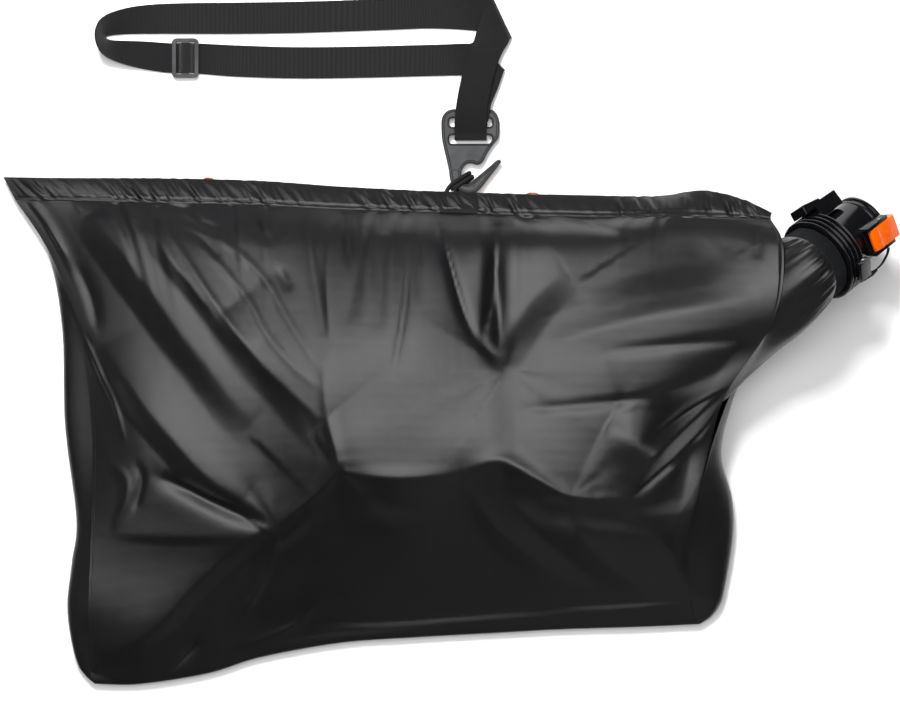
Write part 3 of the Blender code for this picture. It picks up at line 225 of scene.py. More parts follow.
# %% [markdown]
# Most of the cloth is drawn in the same way. A plain grid is added, and each of its points is then
# moved to its place on the real surface. The grid keeps its even texture map, which the strap needs.

# %% Cloth helpers


def pick(*pieces):
    """Selects these pieces alone. The last one is the active one."""
    bpy.ops.object.select_all(action="DESELECT")
    for piece in pieces:
        piece.select_set(True)
        bpy.context.view_layer.objects.active = piece


def finish_edit(piece, *steps):
    """Runs edit-mode steps on one object with all of its mesh selected."""
    pick(piece)
    bpy.ops.object.mode_set(mode="EDIT")
    bpy.ops.mesh.select_all(action="SELECT")
    for step in steps:
        step()
    bpy.ops.object.mode_set(mode="OBJECT")


def apply_modifier(piece, kind, name, **settings):
    """Adds a modifier and applies it."""
    pick(piece)
    modifier = piece.modifiers.new(name, kind)
    for key, value in settings.items():
        setattr(modifier, key, value)
    bpy.ops.object.modifier_apply(modifier=modifier.name)


def shade(piece, angle=40.0):
    """Smooth shading that keeps edges sharper than the angle."""
    pick(piece)
    bpy.ops.object.shade_smooth_by_angle(angle=math.radians(angle))


def shaped_grid(name, points):
    """A grid primitive with its points moved to the given places, first way then second."""
    columns, rows = points.shape[0] - 1, points.shape[1] - 1
    pick()
    bpy.ops.mesh.primitive_grid_add(x_subdivisions=columns, y_subdivisions=rows, size=1)
    piece = bpy.context.object
    piece.name = name
    piece.data.name = name
    flat = np.zeros(len(piece.data.vertices) * 3)
    piece.data.vertices.foreach_get("co", flat)
    flat = flat.reshape(-1, 3)
    i = np.rint((flat[:, 0] + 0.5) * columns).astype(int)
    j = np.rint((flat[:, 1] + 0.5) * rows).astype(int)
    piece.data.vertices.foreach_set("co", points[i, j].reshape(-1))
    piece.data.update()
    return piece


def dress(piece, body, slot, finish, *replaced):
    """Gives a piece its material, lets it ride on its body and stand for its CAD nodes. The slot is not
    used.
    """
    piece.data.materials.clear()
    piece.data.materials.append(finish)
    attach(piece, body)
    if replaced:
        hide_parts(*replaced)
    print(piece.name, len(piece.data.polygons), "faces")


# %% [markdown]
# A cage of a few measured points carries the form of the filled bag: a high flat middle, a slope to
# the near edge, and two corners that sag. A smooth curve runs through each row of the cage.

# %% Cage of the front panel
FRONT_CAGE = [
    [(-401, -350, 12), (-348, -360, 12), (-271, -348, 12), (-212, -330, 12), (-123, -314, 12),
     (-41, -308, 12), (49, -303, 12), (123, -299, 12), (212, -297, 12), (272, -292, 12)],
    [(-401, -279, 26), (-348, -292, 30), (-276, -284, 30), (-208, -273, 31), (-124, -262, 38),
     (-43, -254, 40), (45, -245, 42), (121, -245, 42), (201, -245, 38), (264, -251, 30)],
    [(-399, -224, 28), (-341, -222, 38), (-274, -227, 44), (-198, -222, 48), (-120, -188, 66),
     (-52, -190, 70), (39, -181, 70), (123, -193, 66), (202, -199, 58), (264, -206, 38)],
    [(-397, -163, 28), (-339, -145, 48), (-269, -161, 60), (-188, -179, 66), (-118, -119, 98),
     (-56, -134, 101), (32, -114, 101), (127, -145, 94), (202, -156, 80), (273, -155, 46)],
    [(-397, -80, 28), (-338, -74, 52), (-278, -81, 62), (-209, -78, 74), (-126, -47, 98),
     (-48, -47, 105), (54, -45, 98), (131, -56, 99), (214, -54, 90), (298, -48, 62)],
    [(-410, 26, 26), (-352, 31, 44), (-285, 31, 60), (-212, 30, 75), (-128, 36, 92),
     (-43, 39, 100), (54, 36, 88), (151, 36, 98), (247, 43, 110), (348, 41, 106)],
    [(-445, 116, 18), (-381, 125, 38), (-302, 124, 54), (-219, 123, 64), (-129, 123, 70),
     (-38, 123, 76), (54, 120, 74), (154, 122, 82), (258, 127, 88), (358, 116, 110)],
    [(-484, 175, 12), (-410, 174, 26), (-314, 171, 36), (-221, 169, 40), (-127, 164, 42),
     (-33, 161, 42), (55, 158, 43), (165, 155, 50), (261, 154, 76), (347, 151, 86)],
]


def curve_through(points, at):
    """Points of the smooth curve through the given ones, at positions counted in points."""
    points = np.asarray(points, float)
    last = len(points) - 1
    first = np.clip(np.floor(at).astype(int), 0, last - 1)
    part = (np.asarray(at) - first)[:, None]
    before, start = points[np.maximum(first - 1, 0)], points[first]
    end, after = points[first + 1], points[np.minimum(first + 2, last)]
    out_slope, in_slope = (end - before) / 2, (after - start) / 2
    return (
        (2 * part**3 - 3 * part**2 + 1) * start + (part**3 - 2 * part**2 + part) * out_slope
        + (3 * part**2 - 2 * part**3) * end + (part**3 - part**2) * in_slope
    )


def run_along(line):
    """How far along a line each of its places lies."""
    return np.concatenate([[0.0], np.cumsum(np.linalg.norm(np.diff(line, axis=0), axis=1))])


def places_at(wanted, run, line):
    """Places on a line at the wanted distances along it."""
    return np.stack([np.interp(wanted, run, line[:, axis]) for axis in range(3)], axis=1)


def unit(ways):
    """The same directions, each one long."""
    return ways / np.linalg.norm(ways, axis=1)[:, None]


def even_curve(points, count):
    """The smooth curve again, cut into equal lengths."""
    dense = curve_through(points, np.linspace(0, len(points) - 1, 24 * len(points)))
    run = run_along(dense)
    return places_at(np.linspace(0, run[-1], count), run, dense)


def cage_surface(cage, across, along):
    """The smooth surface through the cage, as a grid of points."""
    rows = np.array([curve_through(row, np.linspace(0, len(row) - 1, across + 1)) for row in cage])
    wanted = np.linspace(0, len(cage) - 1, along + 1)
    return np.stack([curve_through(rows[:, i], wanted) for i in range(across + 1)], axis=0)


# %% [markdown]
# A fold is a line on the cloth with a height and a width. A ridge or a crease is even on both sides.
# A band is a flat slanting strip: it rises to the left of its line, and the cloth beyond sinks back
# slowly, as cloth does that is pulled from a corner.

# %% Fold shapes


def line_distance(x, y, line):
    """Distance from a line, signed with plus on its left, and how far along it each place lies."""
    ends = np.array(line, float)
    run = run_along(ends)
    best, side, along = np.full(x.shape, np.inf), np.zeros(x.shape), np.zeros(x.shape)
    for i, length in enumerate(np.linalg.norm(np.diff(ends, axis=0), axis=1)):
        way = (ends[i + 1] - ends[i]) / length
        offset_x, offset_y = x - ends[i, 0], y - ends[i, 1]
        reach = np.clip(offset_x * way[0] + offset_y * way[1], 0, length)
        gap = np.hypot(offset_x - reach * way[0], offset_y - reach * way[1])
        nearer = gap < best
        best = np.where(nearer, gap, best)
        side = np.where(nearer, np.sign(way[0] * offset_y - way[1] * offset_x), side)
        along = np.where(nearer, (run[i] + reach) / run[-1], along)
    return best * np.where(side == 0, 1, side), along


def fold_height(x, y, kind, height, width, line):
    """Height that one fold adds at each place, in millimetres."""
    line = curve_through([(*p, 0) for p in line], np.linspace(0, len(line) - 1, 6 * len(line)))[:, :2]
    signed, along = line_distance(x, y, line)
    taper = np.sin(np.pi * np.clip(along, 0.015, 0.985)) ** 0.6
    gap = np.abs(signed)
    if kind == "band":
        across = np.clip(signed / width, -1, 1)
        rise = 0.5 * (1 + 1.2 * across - 0.2 * across**3)
        fall = np.exp(-((np.maximum(signed - width, 0) / (3.5 * width)) ** 1.6))
        return height * taper * rise * fall
    if kind == "crease":
        return height * taper * np.exp(-gap / width)
    return height * taper * np.exp(-((gap / width) ** 1.6))


# %% [markdown]
# These are the folds that give this bag its look, each with its height and width in millimetres and
# its line in pixels of the picture. The long ones run from the hem and from the left edge to the
# corners of the flat middle, and short gathers hang under the hem's stitching. Fine pulls spread like
# rays from the four places where folds meet. A simulated cloth would fold elsewhere, so they're drawn.

# %% Folds of the front panel
FOLDS = [
    ("band", 10.0, 15, [(78, 215), (92, 235), (112, 262), (145, 305), (172, 342), (200, 376),
                        (226, 410), (250, 434)]),
    ("band", 5.5, 8, [(138, 225), (165, 262), (195, 298), (226, 336), (250, 362)]),
    ("band", 8.0, 16, [(215, 318), (245, 356), (280, 392), (314, 432)]),
    ("ridge", 2.0, 3.4, [(160, 215), (185, 255), (215, 300), (245, 340), (275, 375), (322, 417)]),
    ("ridge", 1.8, 3.2, [(185, 225), (215, 258), (250, 300), (270, 335), (295, 365), (325, 390)]),
    ("ridge", 1.8, 3.2, [(215, 235), (245, 258), (270, 285), (290, 320), (320, 365)]),
    ("band", 8.0, 12, [(92, 348), (112, 380), (135, 410), (165, 444), (200, 482), (240, 512)]),
    ("ridge", -7, 9, [(158, 476), (185, 488), (215, 502), (245, 516), (268, 524)]),
    ("band", 1.5, 5, [(108, 538), (170, 541), (240, 540)]),
    ("ridge", 1.8, 5, [(112, 466), (126, 480), (124, 505), (112, 528)]),
    ("ridge", -2.5, 5, [(136, 462), (142, 480), (134, 512)]),
    ("band", 5.5, 9, [(95, 673), (140, 650), (170, 626), (200, 592), (240, 556), (281, 525)]),
    ("ridge", 1.5, 4, [(279, 532), (265, 575), (238, 625)]),
    ("ridge", 1.5, 5, [(318, 600), (290, 630), (240, 652)]),
    ("crease", -3.0, 5, [(196, 644), (182, 660), (166, 678)]),
    ("band", 3.0, 4, [(322, 628), (400, 627), (500, 619), (560, 616)]),
    ("band", 2.0, 4, [(230, 655), (330, 640), (430, 634)]),
    ("band", 2.5, 4, [(560, 612), (630, 608), (690, 603)]),
    ("ridge", 2.0, 2.6, [(42, 222), (52, 238), (63, 256)]),
    ("ridge", 2.4, 2.6, [(62, 296), (72, 318), (83, 340), (100, 377), (113, 402), (124, 440)]),
    ("ridge", -2.5, 8, [(72, 262), (88, 295), (96, 330)]),
    ("ridge", 3.0, 6, [(326, 362), (331, 420), (340, 462), (322, 488), (300, 506), (282, 522)]),
    ("ridge", 3.5, 10, [(335, 470), (400, 475), (462, 472)]),
    ("ridge", 4.5, 9, [(466, 468), (500, 458), (530, 474), (568, 495), (610, 499)]),
    ("ridge", -2.6, 7, [(308, 212), (312, 255), (320, 300), (327, 340)]),
    ("ridge", 1.4, 3.2, [(331, 215), (329, 280), (332, 340)]),
    ("ridge", -1.8, 8, [(350, 228), (355, 280), (350, 325)]),
    ("ridge", -1.8, 9, [(376, 240), (382, 290), (379, 335)]),
    ("crease", -3.5, 5, [(409, 232), (407, 285), (403, 325), (394, 373)]),
    ("ridge", -2.0, 5, [(417, 212), (417, 260), (420, 300)]),
    ("crease", -6.5, 5, [(438, 220), (449, 262), (461, 305), (472, 333), (481, 344)]),
    ("crease", -4.0, 4, [(494, 262), (489, 305), (481, 344)]),
    ("ridge", -4.0, 8, [(481, 343), (492, 356), (503, 368)]),
    ("ridge", -8.0, 9, [(497, 216), (496, 270), (499, 325), (503, 366)]),
    ("band", -9.0, 15, [(503, 368), (520, 340), (545, 305), (575, 284)]),
    ("band", -3.0, 12, [(585, 302), (640, 286), (700, 276), (724, 262)]),
    ("ridge", 3.0, 14, [(545, 345), (640, 318), (750, 300)]),
    ("ridge", -2.5, 6, [(600, 352), (690, 343), (762, 338)]),
    ("ridge", -2.2, 5, [(520, 408), (600, 402), (680, 392)]),
    ("band", 4.5, 7, [(640, 404), (700, 384), (740, 366), (766, 348)]),
    ("crease", -6.0, 5, [(640, 442), (690, 407), (739, 378)]),
    ("crease", -9.0, 6, [(632, 492), (665, 463), (700, 431), (723, 402)]),
    ("ridge", 4.0, 6, [(640, 466), (690, 420), (734, 388)]),
    ("band", 4.0, 8, [(590, 500), (640, 509), (704, 502)]),
    ("ridge", 16.0, 34, [(600, 425), (650, 452), (700, 484)]),
    ("ridge", 7.0, 44, [(610, 396), (690, 372), (742, 350)]),
    ("band", -2.5, 14, [(503, 368), (503, 420), (500, 464)]),
    ("crease", -4.0, 6, [(726, 401), (713, 455), (699, 499), (689, 556)]),
    ("ridge", 2.2, 4, [(689, 557), (703, 560), (718, 557)]),
    ("ridge", 3.0, 12, [(468, 488), (500, 532), (560, 578)]),
    ("ridge", -3.0, 12, [(505, 492), (545, 540), (605, 588)]),
    ("ridge", 3.0, 11, [(560, 502), (590, 548), (645, 592)]),
    ("ridge", 4.0, 16, [(625, 520), (662, 542), (700, 588)]),
]
GATHERS = [
    ("ridge", -3.5, 6, [(178, 206), (200, 222), (225, 232)]),
    ("ridge", -3.0, 5, [(185, 228), (205, 242), (222, 260)]),
    ("ridge", -3.0, 5, [(250, 216), (260, 230), (272, 244)]),
    ("ridge", -2.5, 5, [(280, 268), (286, 280), (292, 292)]),
    ("ridge", -3.5, 5, [(346, 210), (348, 235), (350, 262)]),
    ("ridge", -3.0, 4, [(356, 212), (361, 232), (366, 252)]),
    ("ridge", -2.5, 4, [(378, 212), (382, 224), (385, 236)]),
    ("ridge", -3.0, 6, [(505, 212), (530, 219), (560, 226)]),
    ("ridge", -3.0, 6, [(560, 214), (590, 224), (625, 236)]),
    ("ridge", -4.0, 6, [(750, 228), (752, 245), (750, 262)]),
    ("ridge", -3.5, 6, [(770, 238), (772, 258), (770, 280)]),
]
PULLS = [
    ((503, 368), 9, 0.7, 60), ((568, 494), 8, 0.8, 60), ((278, 525), 8, 0.8, 60),
    ((325, 460), 9, 0.6, 50),
]
print(len(FOLDS), "folds,", len(GATHERS), "gathers and", len(PULLS), "places with pulls")

# %% [markdown]
# The panel's surface is the cage's smooth surface with the height of all folds added. The folds fade
# towards the seams, which hold the cloth still, and under the hem the cloth is gathered instead.

# %% Surface of the front panel
GATHER_HEIGHT, GATHERS_FROM = 1.6, 0.70


def height_of(folds, x, y):
    """Height that all of these folds add at each place."""
    return sum(fold_height(x, y, *fold[:3], on_cloth(fold[3])) for fold in folds)


def front_points(across, along):
    """Outer surface of the front panel in metres."""
    grid = cage_surface(FRONT_CAGE, across, along)
    x, y = grid[..., 0], grid[..., 1]
    u = np.linspace(0, 1, across + 1)[:, None]
    v = np.linspace(0, 1, along + 1)[None, :]
    free = np.clip(np.minimum(np.minimum(v, 1 - v) * 14, np.minimum(u, 1 - u) * 26), 0, 1)
    lift = height_of(FOLDS, x, y) * free
    under_hem = np.clip((1 - v) * 40, 0, 1) * np.clip(np.minimum(u, 1 - u) * 16, 0, 1)
    lift += height_of(GATHERS, x, y) * under_hem
    for place, count, height, reach in PULLS:
        at_x, at_y = on_cloth([place])[0]
        turn, away = np.arctan2(y - at_y, x - at_x), np.hypot(x - at_x, y - at_y)
        fade = np.exp(-away / reach)
        rays = np.sin(count * turn + 2 * np.sin(3 * turn + at_x)) * (away / (away + 40)) * fade
        lift += height * rays * free
    near_hem = np.clip((v - GATHERS_FROM) / 0.25, 0, 1) ** 1.5 * np.clip((1 - v) / 0.02, 0, 1)
    zone = near_hem * np.clip(u * (1 - u) * 12, 0, 1)
    wander = u * 61 + 1.3 * np.sin(u * 37) + 0.8 * v * np.sin(u * 23)
    lift += GATHER_HEIGHT * zone * (np.sin(wander * 2) * 0.6 + np.sin(wander * 3.3 + 1) * 0.4)
    grid[..., 2] += lift
    return from_bag(grid)


# %% [markdown]
# The front panel is the largest piece of cloth. It is a fine grid laid over the cage with its folds,
# and a thin wall is given to it last.

# %% Front panel
CLOTH_WALL, FRONT_GRID = 0.0007, (270, 178)
front = shaped_grid("front_cloth", front_points(*FRONT_GRID))
apply_modifier(front, "SOLIDIFY", "wall", thickness=CLOTH_WALL, offset=-1.0)
shade(front, 70)
dress(front, "bag", "nylon", nylon, "front_panel")

# %% [markdown]
# The hem is a flat tube of cloth along the zipped edge. Its thread pulls it short, so it puckers in
# many small slanting wrinkles. One grid runs from the stitching over the tube and round under its
# outer edge.

# %% Hem
HEM_EDGE = [
    (-499, 202, 8), (-434, 200, 20), (-315, 199, 28), (-210, 196, 31), (-127, 190, 32),
    (-33, 185, 33), (55, 182, 34), (139, 180, 36), (226, 178, 48), (275, 183, 64),
    (315, 174, 74), (349, 158, 82),
]
HEM_PUFF, HEM_ROLL, HEM_TOP, HEM_WALL, HEM_GRID = 1.5, 1.3, 0.82, 0.0006, (620, 24)
# Each row of puckers: height, how many, slant, and how far and how often their spacing wanders.
PUCKERS = [(1.0, 41, 0.9, 2.2, 31), (0.7, 67, 1.3, 1.7, 47), (0.4, 103, 1.0, 0, 0)]


def hem_points(across, along):
    """The hem's outer side: rows run from the stitching over the top and round the far edge."""
    near, far = even_curve(FRONT_CAGE[-1], across + 1), even_curve(HEM_EDGE, across + 1)
    u = np.linspace(0, 1, across + 1)
    way = far - near
    width = np.linalg.norm(way, axis=1)
    way /= width[:, None]
    up = unit(np.cross(np.gradient(near, axis=0), way))
    ends = np.clip(u * (1 - u) * 30, 0, 1)
    patches = 0.55 + 0.45 * np.sin(u * 29 + 2) * np.sin(u * 11)
    rows = []
    for v in np.linspace(0, 1, along + 1):
        over = np.clip(v / HEM_TOP, 0, 1)
        pucker = sum(
            height * np.sin(2 * math.pi * (u * count + slant * over) + wander * np.sin(u * often))
            for height, count, slant, wander, often in PUCKERS
        )
        puff = math.sin(math.pi * min(over, 0.96)) ** 0.5
        lift = puff * (HEM_PUFF + 1.05 * pucker * patches) * ends
        lift -= 0.8 * math.exp(-((over - 0.13) / 0.05) ** 2)
        place = near + way * (0.4 + (width[:, None] - 1.4) * over)
        if v > HEM_TOP:
            turn = math.pi * (v - HEM_TOP) / 0.18
            place = place + way * HEM_ROLL * math.sin(turn)
            place = place - up * HEM_ROLL * (1 - math.cos(turn)) * 0.9
            place = place - way * 3.0 * max(0.0, (v - 0.94) / 0.06)
        rows.append(place + up * lift[:, None] + np.stack([u * 0, 0.25 * lift * over, u * 0], axis=1))
    return from_bag(np.stack(rows, axis=1))


hem = shaped_grid("hem_cloth", hem_points(*HEM_GRID))
apply_modifier(hem, "SOLIDIFY", "wall", thickness=HEM_WALL, offset=-1.0)
shade(hem, 70)
dress(hem, "bag", "nylon", nylon, "hem_band")

# %% [markdown]
# Some pieces only need softer edges than the CAD model gives them. Such a piece starts as a copy of
# its CAD node, with its loose triangles merged and its flat faces made whole again.

# %% Copies of CAD nodes


def copy_of(node, name, flat_angle=1.0):
    """A copy of a CAD node's mesh as a new piece, merged and cleaned."""
    piece = bpy.data.objects.new(name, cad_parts[node].data.copy())
    bpy.context.scene.collection.objects.link(piece)
    finish_edit(
        piece,
        lambda: bpy.ops.mesh.remove_doubles(threshold=0.00002),
        lambda: bpy.ops.mesh.dissolve_limited(angle_limit=math.radians(flat_angle)),
    )
    return piece


def soften(piece, width, segments=3, angle=35.0):
    """Rounds the edges of a moulded piece."""
    apply_modifier(
        piece, "BEVEL", "edges", width=width, segments=segments, limit_method="ANGLE",
        angle_limit=math.radians(angle), use_clamp_overlap=True,
    )
    shade(piece, 35)


def softened_copy(node, name, width, body, slot, finish, segments=3, flat_angle=1.0, angle=35.0):
    """A copy of a CAD node with soft edges, dressed and standing for its node."""
    piece = copy_of(node, name, flat_angle)
    soften(piece, width, segments, angle)
    dress(piece, body, slot, finish, node)


# %% [markdown]
# The back panel lies on the floor and turns up to the seams. It is drawn as rings: from the seam over
# the soft rim, down to the floor, and on to the middle. Each pair below is a place on the seam and the
# place on the rim next to it.

# %% Seams of the back panel
# From left to right along the near edge.
BACK_BOTTOM = [
    ((-401, -350, 12), (-396, -364, 8)), ((-348, -360, 12), (-348, -364, 7)),
    ((-271, -348, 12), (-271, -352, 7)), ((-212, -330, 12), (-212, -334, 7)),
    ((-123, -314, 12), (-123, -318, 7)), ((-41, -308, 12), (-41, -312, 7)),
    ((49, -303, 12), (49, -307, 7)), ((123, -299, 12), (123, -303, 7)),
    ((212, -297, 12), (213, -300, 7)), ((272, -292, 12), (279, -297, 8)),
]
# From the near edge to the zip's left end.
BACK_LEFT = [
    ((-401, -350, 12), (-396, -364, 8)), ((-401, -343, 13.3), (-406, -356, 8)),
    ((-401, -331, 15.8), (-416, -341, 9)), ((-401, -308, 20.4), (-423, -310, 12)),
    ((-401, -279, 26), (-426, -274, 14)),
    ((-399, -224, 28), (-421, -228, 15)), ((-397, -163, 28), (-416, -178, 16)),
    ((-397, -80, 28), (-428, -75, 16)), ((-410, 26, 26), (-432, 35, 15)),
    ((-445, 116, 18), (-450, 120, 9)), ((-488, 184, 9), (-490, 187, 3)),
]
# From the near edge, under the neck, to the hem's right end.
BACK_RIGHT = [
    ((272, -292, 12), (279, -297, 8)), ((270, -281, 17), (291, -289, 9)),
    ((267, -267, 24), (299, -277, 12)), ((264, -251, 30), (304, -260, 15)),
    ((264, -206, 38), (313, -200, 18)), ((273, -155, 45), (312, -155, 21)),
    ((286, -102, 52), (300, -104, 34)), ((304, -48, 59), (310, -52, 42)),
    ((322, -16, 36), (326, -16, 26)), ((338, 14, 14), (342, 14, 8)),
    ((341, 62, 8), (346, 62, 4)), ((345, 106, 14), (350, 108, 8)),
    ((350, 132, 40), (355, 136, 24)), ((346, 150, 76), (352, 154, 50)),
]
# From left to right along the zip.
BACK_TOP = [
    ((-488, 184, 9), (-490, 187, 3)), ((-464, 192, 11.5), (-465, 194, 5)),
    ((-440, 194, 16), (-440, 196, 7)), ((-431, 189, 9), (-431, 191.5, 3.5)),
    ((-404, 187, 7), (-404, 190, 2.5)),
    ((-315, 184, 7), (-315, 187, 2.5)), ((-210, 180, 7), (-210, 183, 2.5)),
    ((-127, 177, 7), (-127, 180, 2.5)), ((-33, 173.5, 7), (-33, 177, 2.5)),
    ((55, 170.5, 7), (55, 174, 2.5)), ((139, 167.5, 7), (139, 171, 2.5)),
    ((180, 166.2, 7), (180, 169.3, 2.6)), ((196, 165.7, 7.5), (196, 168.6, 3)),
    ((204, 168.5, 23), (204, 170.5, 10)), ((208.5, 172.5, 38), (208.5, 173, 17)),
    ((218, 175.5, 43), (218, 176, 20)), ((236, 178, 48), (236, 178, 24)),
    ((272, 181, 62), (272, 183, 38)), ((312, 171, 71), (314, 173, 46)),
    ((346, 150, 76), (352, 154, 50)),
]
print(sum(len(edge) for edge in (BACK_BOTTOM, BACK_LEFT, BACK_RIGHT, BACK_TOP)), "pairs of places")

# %% [markdown]
# A flat sheet can't turn up at four sides without creases at its corners, but rings can. The ring at
# the seam sits a little lower than the front panel's edge, so the two cloths don't flicker through
# each other, and the last ring closes to a line under the bag, where nobody sees it.

# %% Back panel
SEAM_DROP, MERGE_GAP = 1.4, 0.00001
FLOOR_SHARES = (0.05, 0.2, 0.45, 0.75, 1.0)


def ring_of(edges, which, counts):
    """One closed line through the four edges: the seam (0) or the rim (1)."""
    parts = []
    for edge, count in zip(edges, counts):
        wanted = np.linspace(0, len(edge) - 1, count + 1)[:-1]
        parts.append(curve_through([pair[which] for pair in edge], wanted))
    return np.concatenate(parts + [parts[0][:1]])


def back_points(counts, rows):
    """The back panel's outer side as closed rings, in metres."""
    edges = (BACK_BOTTOM, BACK_RIGHT, BACK_TOP[::-1], BACK_LEFT[::-1])
    seam, rim = ring_of(edges, 0, counts), ring_of(edges, 1, counts)
    seam[:, 2] -= SEAM_DROP
    middle = np.stack([np.clip(rim[:, 0], -260, 180), rim[:, 0] * 0 - 60, rim[:, 0] * 0], axis=1)
    stations = [seam, rim]
    for share in FLOOR_SHARES:
        ring = rim + (middle - rim) * share
        ring[:, 2] = 0
        stations.append(ring)
    flat = np.array(stations).reshape(len(stations), -1)
    grid = curve_through(flat, np.linspace(0, len(stations) - 1, rows + 1)).reshape(rows + 1, -1, 3)
    grid[..., 2] = np.maximum(grid[..., 2], 0.05)
    return from_bag(grid.transpose(1, 0, 2))


def merge_ring(piece, *more):
    """Merges the first and last column of a grid that was bent into a ring."""
    finish_edit(
        piece,
        lambda: bpy.ops.mesh.remove_doubles(threshold=MERGE_GAP),
        *more,
        lambda: bpy.ops.mesh.normals_make_consistent(inside=False),
    )


back = shaped_grid("back_cloth", back_points((170, 110, 200, 120), 36))
merge_ring(back)
apply_modifier(back, "SOLIDIFY", "wall", thickness=CLOTH_WALL, offset=-1.0)
shade(back, 70)
dress(back, "bag", "nylon", nylon, "back_panel")

# %% [markdown]
# The connector leaves the bag turned to the right and tipped down until its rim meets the floor. Its
# parts are round about its own axis, so they are measured in a frame of their own, top, side and out
# along the pipe, and one function takes them into the model's frame.

# %% Connector's frame
NECK_AT = (402.0, 107.0)
NECK_TILT, NECK_TURN = math.radians(29.0), math.radians(36.0)
PIPE_REACH, RIM_RADIUS, PIPE_RADIUS, BORE_RADIUS = 77.0, 36.0, 34.0, 30.5
FLOOR_GAP = 0.15
neck_level = Vector((math.cos(NECK_TURN), math.sin(NECK_TURN), 0))
neck_out = neck_level * math.cos(NECK_TILT) - Vector((0, 0, math.sin(NECK_TILT)))
neck_top = neck_level * math.sin(NECK_TILT) + Vector((0, 0, math.cos(NECK_TILT)))
neck_side = neck_out.cross(neck_top)
neck_height = PIPE_REACH * math.sin(NECK_TILT) + RIM_RADIUS * math.cos(NECK_TILT) + FLOOR_GAP
neck_axes = np.array([neck_top, neck_side, neck_out])
neck_origin = np.array([*NECK_AT, neck_height])


def from_neck(points):
    """Millimetres in the connector's frame, top, side and out, as metres in the model's frame."""
    return from_bag(np.asarray(points, float) @ neck_axes + neck_origin)


print("connector stands at", from_neck([[0, 0, 0]]))

# %% [markdown]
# The neck is a cloth tube from an oval opening in the bag to the connector. A bent cylinder would
# leave gaps at the bag, so each ring is blended from the seam of the opening to the round end under
# the cuff. The elastic gathers that end, so the folds deepen towards it.

# %% Neck sleeve
SLEEVE_ROOT, ROOT_SIDE = Vector((322, 61, 55)), Vector((0.10, -0.99, -0.10)).normalized()
ROOT_HALF_WIDTH, ROOT_HALF_HEIGHT, CUFF_RADIUS, CUFF_START = 69.0, 43.0, 41.2, -21.6
SEWN_REACH, SLEEVE_PULL, SLEEVE_WALL = 0.42, 0.9, 0.0008


def opening_ring(top, side, turn):
    """The seam that the neck is sewn to, met at each angle round the neck's root."""
    front_edge = curve_through([row[-1] for row in FRONT_CAGE], np.linspace(4, 7, 60))
    back_edge = curve_through([pair[0] for pair in BACK_RIGHT], np.linspace(7, 13, 90))[::-1]
    seam = np.concatenate([front_edge, back_edge])
    offset = seam - np.array(SLEEVE_ROOT)
    angle = np.mod(np.arctan2(offset @ np.array(side), offset @ np.array(top)), 2 * math.pi)
    order = np.argsort(angle)
    angle, seam = angle[order], seam[order]
    met = [np.interp(turn, angle, seam[:, k], period=2 * math.pi) for k in range(3)]
    return np.stack(met, axis=1)


def sleeve_points(around, rows):
    """The neck's outer side, as rings from the seam at the bag to the cuff."""
    end = Vector(neck_origin) + neck_out * (CUFF_START - 0.3)
    root_top = (Vector((0, 0, 1)) - ROOT_SIDE * ROOT_SIDE.z).normalized()
    pull = (end - SLEEVE_ROOT).length
    turn = np.linspace(0, 2 * math.pi, around + 1)
    opening = opening_ring(root_top, ROOT_SIDE, turn)
    rings = []
    for t in np.linspace(0, 1, rows + 1):
        sewn = max(0.0, 1 - t / SEWN_REACH) ** 2
        ease = 3 * t**2 - 2 * t**3
        centre = (
            SLEEVE_ROOT * (1 - ease) + end * ease
            + Vector((1, -0.05, 0)) * pull * (t**3 - 2 * t**2 + t) * SLEEVE_PULL
            + neck_out * pull * (t**3 - t**2) * SLEEVE_PULL
        )
        top = root_top.lerp(neck_top, ease).normalized()
        side = ROOT_SIDE.lerp(neck_side, ease).normalized()
        half_width = ROOT_HALF_WIDTH + (CUFF_RADIUS - ROOT_HALF_WIDTH) * t**0.8
        half_height = ROOT_HALF_HEIGHT + (CUFF_RADIUS - ROOT_HALF_HEIGHT) * t
        gather = (
            2.2 * np.sin(5 * turn + 1.6 * t + 0.6) * math.sin(math.pi * t)
            + 0.7 * np.sin(23 * turn + 0.8 * math.sin(5 * t)) * t**3 * min(1.0, (1 - t) * 9)
            + 0.8 * np.sin(38 * turn) * t**5 * min(1.0, (1 - t) * 9)
            - 0.8 * math.exp(-((t - 0.12) / 0.05) ** 2)
        )
        free = (
            np.array(centre) + np.outer((half_height + gather) * np.cos(turn), top)
            + np.outer((half_width + gather) * np.sin(turn), side)
        )
        rings.append(free * (1 - sewn) + (opening + [60 * t - 2.5, 0, 0]) * sewn)
    return from_bag(np.stack(rings, axis=1))


sleeve = shaped_grid("neck_cloth", sleeve_points(240, 70)[:, ::-1])
merge_ring(sleeve)
apply_modifier(sleeve, "SOLIDIFY", "wall", thickness=SLEEVE_WALL, offset=-1.0)
shade(sleeve, 70)
dress(sleeve, "bag", "nylon", nylon, "neck_sleeve")

# %% [markdown]
# The hard parts of the connector are black glass-filled nylon, moulded against polished steel, so
# they shine, and slow ripples 4 mm long bend what they mirror. The lever is orange ABS, polished the
# same way, with ripples of 3 mm. The strap's hook and glide are grey acetal with a dull fine grain,
# drawn at 0.8 mm so that it shows. Pin, screw, spring, stops and slider are steel with a thin coat of
# zinc, which blurs what it mirrors into soft specks about 1 mm wide.

# %% Plastics and metal


